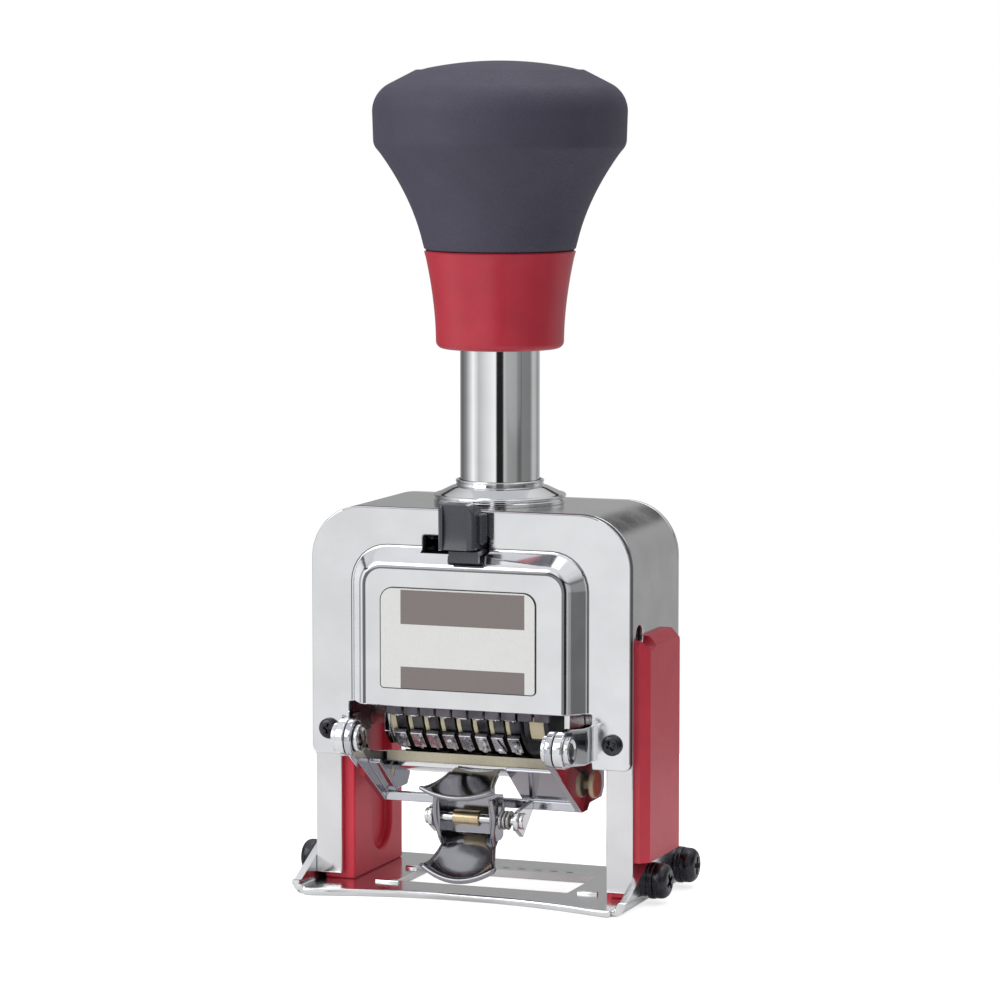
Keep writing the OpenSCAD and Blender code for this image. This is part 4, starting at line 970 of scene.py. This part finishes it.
cover = bar("red_side_cover", (cover_high - cover_low) / MM, cover_middle / MM)
bevel_where(cover, end_edge(-1, cover_high.z), 1.6, 2)
bevel_where(cover, end_edge(1, cover_high.z), 2.6, 4)
bevel_where(cover, lambda e: level(e, 0, cover_high.x) and centre_of(e).z > cover_low.z + MM, 1.7, 1)
notch_middle = (cover_middle.x / MM, side_middle.y / MM, side_middle.z / MM)
cut_out(cover, rod("notch", 2.55, 8, notch_middle, ALONG_X, 64))
soften(cover, 0.25, 3, 20, clamp=True)
settle(cover, red_plastic, "case", "side_cover", 30)

# %% [markdown]
# ## The number wheels
# Each wheel is a narrow dark rim with ten type blocks on it, and each block carries one digit that stands out
# and reads backwards, as type does. The rim, its blocks and its digits, which are text made into mesh, are
# made once. Every wheel is then a turned copy, so the row shows a different digit on each.

# %% Cut one wheel with its type
WHEEL_W, WHEEL_R = 2.3, 14.2
TYPE_H, TYPE_W, FACE_H = 1.4, 5.0, 0.55
OVERHANG = 0.7
TYPE_PHASE = 12
DIGIT_SIZE, DIGIT_NARROW = 5.6, 0.66
shaft_radius = (high("wheel_shaft").z - low("wheel_shaft").z) / 2 / MM


def digit(value):
    """A digit on the type at the bottom of the wheel, about the wheel's own axis. Text faces up, so it
    reads backwards from below."""
    bpy.ops.object.text_add(location=(0, 0, 0))
    made = bpy.context.object
    made.data.body = str(value)
    made.data.size = DIGIT_SIZE * MM
    made.data.extrude = FACE_H / 2 * MM
    made.data.offset = 0.06 * MM
    made.data.resolution_u = 3
    made.data.align_x, made.data.align_y = "CENTER", "CENTER"
    pick(made)
    bpy.ops.object.convert(target="MESH")
    made = bpy.context.object
    made.scale.x = DIGIT_NARROW
    edit_all(fixed(made))
    bpy.ops.mesh.remove_doubles(threshold=0.002 * MM)
    leave_edit()
    made.location = ((WHEEL_W - OVERHANG) / 2 * MM - 0.9 * MM, 0, -(WHEEL_R - FACE_H / 2 - 0.12) * MM)
    return fixed(made)


def wheel_blank():
    """Rim, ten type blocks and ten digits, about the wheel's own axis."""
    rim = rod("rim", WHEEL_R - TYPE_H, WHEEL_W, turn=ALONG_X, sides=120)
    sink(rim, lambda f: abs(f.normal.x) > 0.9, (1.6, -0.35))
    soften(rim, 0.12, 2, 40)
    cut_out(rim, rod("hole", shaft_radius + 0.05, WHEEL_W * 2, turn=ALONG_X))
    pieces = [rim]
    width = WHEEL_W + OVERHANG - 0.1
    height = TYPE_H - FACE_H + 0.1
    block = bar("block", (width, TYPE_W, height),
                (WHEEL_W / 2 - 0.1 - width / 2, 0, TYPE_H - WHEEL_R - height / 2))
    taper(block, 0.88, 0.86)
    soften(block, 0.12, 2, 40)
    for k in range(10):
        spin = (radians(36 * k - TYPE_PHASE), 0, 0)
        raised = digit(k)
        pieces += [twin(block, "type", turn=spin), twin(raised, "face", turn=spin)]
        remove(raised)
    remove(block)
    return pieces


def on_face(face):
    """True on the raised digits, which rubbing keeps bright."""
    place = centre_of(face)
    return sqrt(place.y ** 2 + place.z ** 2) > (WHEEL_R - FACE_H - 0.05) * MM


wheel_pattern = coated(fixed(joined("wheel_pattern", *reversed(wheel_blank()))), type_metal)
paint(wheel_pattern, type_face, on_face)
print("wheel pattern:", len(wheel_pattern.data.polygons), "faces")

# %% Set the row of wheels
FIRST_SHOWN = [0, 3, 8, 5, 1, 6, 2, 4]
for i, shown in enumerate(FIRST_SHOWN, 1):
    node, body = "number_wheel_%d" % i, "wheel_%d" % i
    centre = (high(node).x - WHEEL_W / 2 * MM, shaft.y, shaft.z)
    wheel = twin(wheel_pattern, "digit_wheel_%d" % i, centre, (radians(36 * shown), 0, 0))
    settle(wheel, None, body, node, 35)
    dressed("ratchet_%d" % i, "cream_ratchet_%d" % i, cream_plastic, body, 0.1)
remove(wheel_pattern)

# %% [markdown]
# ## What sits beside the wheels
# A bright ring closes the row on the left, a black disc with its cream index on the right. Above the printing
# line a dark comb keeps the wheels apart. These keep their shape and get their edges rounded.

# %% Dress the row's ends, the comb and the inner frame
dressed("end_ring", "row_end_ring", mirror_chrome, "plunger", 0.1)
dressed("repeat_disc", "repeat_wheel", black_plastic, "plunger", 0.25, 3)
dressed("index_window", "index_mark", cream_plastic, "plunger", 0.1)
dressed("detent_comb", "wheel_comb", comb_steel, "plunger", 0.1)
dressed("inner_frame", "wheel_carrier", mirror_chrome, "plunger", 0.2, 2)
dressed("wheel_shaft", "wheel_axle", plain_steel, "plunger", 0.3)
dressed("guide_rollers", "groove_rollers", plain_steel, "plunger", 0.25, 3)
dressed("pawl_shaft", "pawl_axle", plain_steel, "plunger", 0.15)
dressed("feed_pawl", "feed_fingers", plain_steel, "plunger", 0.06)
dressed("stop_washer", "rubber_stop", black_rubber, "plunger", 0.4, 3)
dressed("stem_nut", "hex_nut", plain_steel, "plunger", 0.35, 3)
dressed("spring_hangers", "spring_pins", plain_steel, "case", 0.12)

# %% [markdown]
# ## The pad carrier
# A pressed and plated frame that swings on two rivets. It holds the felt strip under the wheels. Its arms
# look into the machine, so their side faces get a dark chrome, which is painted shade. The rivets' heads are
# dished, which gives each of them a bright ring with a dark centre.

# %% Round the carrier, its tray and the felt
swing_frame = coated(soften(copy_of("pad_carrier", "swing_frame"), 0.25, 3), carrier_chrome)
# Painted shade on the arms' side faces below the hinge.
paint(swing_frame, arm_shade_chrome, lambda f: abs(f.normal.x) > 0.9 and centre_of(f).z < hinge.z - 4 * MM)
settle(swing_frame, None, "pad_arm", "pad_carrier", 32)
dressed("pad_tray", "felt_tray", mirror_chrome, "pad_arm", 0.2, 3)
dressed("ink_pad", "felt_strip", felt, "pad_arm", 0.35, 3)
dressed("side_rollers", "cream_rollers", cream_plastic, "pad_arm", 0.3, 3)

# %% Dish the rivets
RIVET_INNER, RIVET_OUTER = 19.8, 25.6
SHANK_RADIUS, HEAD_RADIUS = 1.6, 2.9


def rivet():
    """The right rivet about the hinge line, with a dished head at both ends."""
    shank = rod("rivet_shank", SHANK_RADIUS, RIVET_OUTER - RIVET_INNER - 0.4,
                ((RIVET_INNER + RIVET_OUTER) / 2, 0, 0), ALONG_X)
    heads = []
    for start, end, out in ((RIVET_INNER, RIVET_INNER + 0.9, -1), (RIVET_OUTER - 1.1, RIVET_OUTER, 1)):
        head = rod("rivet_head", HEAD_RADIUS, end - start, ((start + end) / 2, 0, 0), ALONG_X, 64)
        sink(head, lambda f: f.normal.x * out > 0.9, (0.55, 0), (0.5, -0.32), (0.75, -0.2))
        soften(head, 0.14, 3, 25)
        heads.append(head)
    return joined("rivet", shank, *heads)


pattern = rivet()
rivets = [twin(pattern, "rivet_side", (0, hinge.y, hinge.z), flip=flip) for flip in (False, True)]
remove(pattern)
settle(joined("dished_rivets", *rivets), mirror_chrome, "case", "hinge_rivets", 35)

# %% [markdown]
# ## Finger tab and clip
# Two pressed lips that are pinched between finger and thumb to lift the pad out. Each starts as a row of
# points that is drawn forward step by step, widens and sags, and gets its sheet with a Solidify modifier. A
# bead runs round the rim, so it shines along the whole edge.

# %% Press a lip out of a row of points
def tube(name, points, radius):
    """A round bead through points in millimetres. A radius of 0 gives only the line."""
    data = bpy.data.curves.new(name, "CURVE")
    data.dimensions = "3D"
    data.bevel_depth = radius * MM
    data.bevel_resolution = 4
    data.use_fill_caps = radius > 0
    line = data.splines.new("POLY")
    line.points.add(len(points) - 1)
    for place, point in zip(line.points, points):
        place.co = (*[v * MM for v in point], 1)
    pick(new_object(name, data))
    bpy.ops.object.convert(target="MESH")
    return bpy.context.object


LIP_SHEET, LIP_BEAD, LIP_STEPS = 0.8, 0.45, 24


def lip_row(wide, y, z, sag, bow):
    """A row of points across a lip: lower by `sag` and further forward by `bow` in its middle."""
    shares = [2 * i / LIP_STEPS - 1 for i in range(LIP_STEPS + 1)]
    return [(wide * t, y - bow * (1 - t * t), z - sag * (1 - t * t)) for t in shares]


def pressed_lip(name, rows, bow):
    """A curved sheet from the back row to the front row, in the machine's place, with a bead on its free rim.
    Each row is (half width, y, z, sag) in millimetres."""
    lip = tube(name, lip_row(*rows[0], bow), 0)
    edit_all(lip, "EDGE")
    for before, row in zip(rows, rows[1:]):
        mean = 0.66 * (before[3] - row[3])
        step = (0, (row[1] - before[1]) * MM, (row[2] - before[2] + mean) * MM)
        bpy.ops.mesh.extrude_edges_move(TRANSFORM_OT_translate={"value": step})
        bpy.ops.transform.resize(value=(row[0] / before[0], 1, row[3] / before[3]))
    leave_edit()
    modify(lip, "SOLIDIFY", thickness=LIP_SHEET * MM, offset=0)
    soften(lip, LIP_SHEET * 0.3, 2, 50, clamp=True)
    left = [lip_row(*row, bow)[0] for row in rows]
    right = [lip_row(*row, bow)[-1] for row in reversed(rows)]
    rim = tube("rim", left[1:-1] + lip_row(*rows[-1], bow) + right[1:-1], LIP_BEAD)
    return joined(name, rim, lip)


# %% Set the finger tab and the clip lever
back = stem.y / MM
tab_rows = [(4.9, back - 13.0, 26.0, 0.5), (5.1, back - 15.5, 25.3, 0.7), (5.5, back - 18.0, 24.6, 0.95),
            (6.1, back - 20.5, 24.0, 1.2), (6.9, back - 22.6, 23.6, 1.4), (7.5, back - 24.1, 23.5, 1.5),
            (7.8, back - 25.1, 23.7, 1.5)]
settle(pressed_lip("pinch_tab", tab_rows, 1.2), dark_chrome, "pad_arm", "finger_tab", 50)

scoop_rows = [(5.5, back - 15.6, 13.4, 0.3), (5.5, back - 16.9, 12.2, 0.5), (5.5, back - 18.3, 11.1, 0.9),
              (5.9, back - 19.6, 9.9, 1.4), (6.4, back - 21.0, 8.7, 1.9), (7.0, back - 22.4, 7.9, 2.3),
              (7.6, back - 23.6, 7.6, 2.5), (7.9, back - 24.5, 7.7, 2.5)]
scoop = pressed_lip("scoop", scoop_rows, 1.1)

STRAP_END = 12.4
straps = copy_of("clip_lever", "straps")
cut(straps, 2, STRAP_END * MM, keep="above")
soften(straps, 0.25, 3, 32, clamp=True)
strap_line = [(6.0, -21.4, 21.3), (6.25, -21.2, 19.6), (6.4, -20.9, 17.8), (6.3, -20.6, 16.2),
              (6.0, -20.2, 14.8), (5.7, -19.7, 13.2), (5.5, -18.9, 11.6)]
beads = [tube("strap_bead", [(side * x, back + y, z) for x, y, z in strap_line], 0.5) for side in (1, -1)]
lever = joined("pinch_lever", scoop, *beads, straps)
settle(lever, dark_chrome, "clip", "clip_lever", 50)

# %% Wind the clip's spring, and finish the axle and its ears
WIRE_RADIUS, COIL_RADIUS, COIL_PITCH = 0.35, 1.65, 0.82
COIL_TURNS, COIL_STEPS = 3, 24
axle = middle("clip_axle") / MM
coil_x = low("clip_spring").x / MM + WIRE_RADIUS
coil_rear = axle.y + COIL_RADIUS
coil = [(coil_x, coil_rear + 0.2, axle.z + 3.2), (coil_x, coil_rear, axle.z + 1.4)]
for i in range(COIL_TURNS * COIL_STEPS + 1):
    turn = -2 * pi * i / COIL_STEPS
    coil.append((coil_x + COIL_PITCH * i / COIL_STEPS, axle.y + COIL_RADIUS * cos(turn),
                 axle.z + COIL_RADIUS * sin(turn)))
coil_end = coil[-1][0]
coil += [(coil_end, coil_rear, axle.z - 1.2), (coil_end, coil_rear + 0.4, axle.z - 2.4)]
settle(tube("wound_spring", coil, WIRE_RADIUS), plain_steel, "pad_arm", "clip_spring", 60)

dressed("clip_bracket", "clip_ears", mirror_chrome, "pad_arm", 0.2, 3)
dressed("clip_axle", "clip_pin", mirror_chrome, "pad_arm", 0.25, 3)
dressed("clip_roller", "brass_roller", brass, "pad_arm", 0.15, 3)

# %% [markdown]
# ## Selector
# A black moulded slide. Its finger piece has a rolled rim, and is hollowed for the fingertip by a wide
# cylinder that lies across it. A lower step stands behind its right side. The neck and the foot are the
# model's own.

# %% Mould the selector
FINGER_W, FINGER_T, FINGER_H = 8.0, 4.6, 9.5
STEP_W, STEP_T, STEP_H, STEP_OUT = 2.9, 3.1, 6.3, 0.9
finger_left, finger_front = low("selector_knob").x / MM, low("selector_knob").y / MM
finger_top = levels("selector_knob")[1]
finger_right, finger_low = finger_left + FINGER_W, finger_top - FINGER_H


def corner_along_y(x, z):
    """Test for the finger piece's edge that runs front to back at a place in millimetres."""
    return lambda e: level(e, 0, x * MM) and level(e, 2, z * MM)


finger = bar("finger", (FINGER_W, FINGER_T, FINGER_H),
             (finger_left + FINGER_W / 2, finger_front + FINGER_T / 2, finger_top - FINGER_H / 2))
bevel_where(finger, corner_along_y(finger_right, finger_top), 2.6, 9)
bevel_where(finger, corner_along_y(finger_left, finger_top), 0.8, 5)
bevel_where(finger, corner_along_y(finger_right, finger_low), 0.7, 4)
bevel_where(finger, lambda e: level(e, 1, finger_front * MM), 0.75, 5)
hollow_middle = (finger_left + 3.7, finger_front - 15.1, finger_top - 4.9)
cut_out(finger, rod("hollow", 16, 5.2, hollow_middle, ALONG_X, 128))
soften(finger, 0.3, 3, 32, clamp=True)
step = bar("step", (STEP_W, STEP_T, STEP_H),
           (finger_right + STEP_OUT - STEP_W / 2, finger_front + 3.95, finger_low + 1.2 + STEP_H / 2))
soften(step, 0.5, 4)
foot = copy_of("selector_knob", "foot")
cut(foot, 2, (finger_low + 0.01) * MM, keep="below")
soften(foot, 0.3, 3, 32, clamp=True)
settle(joined("repeat_selector", foot, step, finger), selector_black, "selector", "selector_knob", 40)

# %% [markdown]
# ## Return springs
# They are wound in the model already, so they keep their own mesh and only get their steel.

# %% Coat the springs
springs = smooth(coated(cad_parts["return_springs"], plain_steel))
print("springs:", len(springs.data.polygons), "faces")
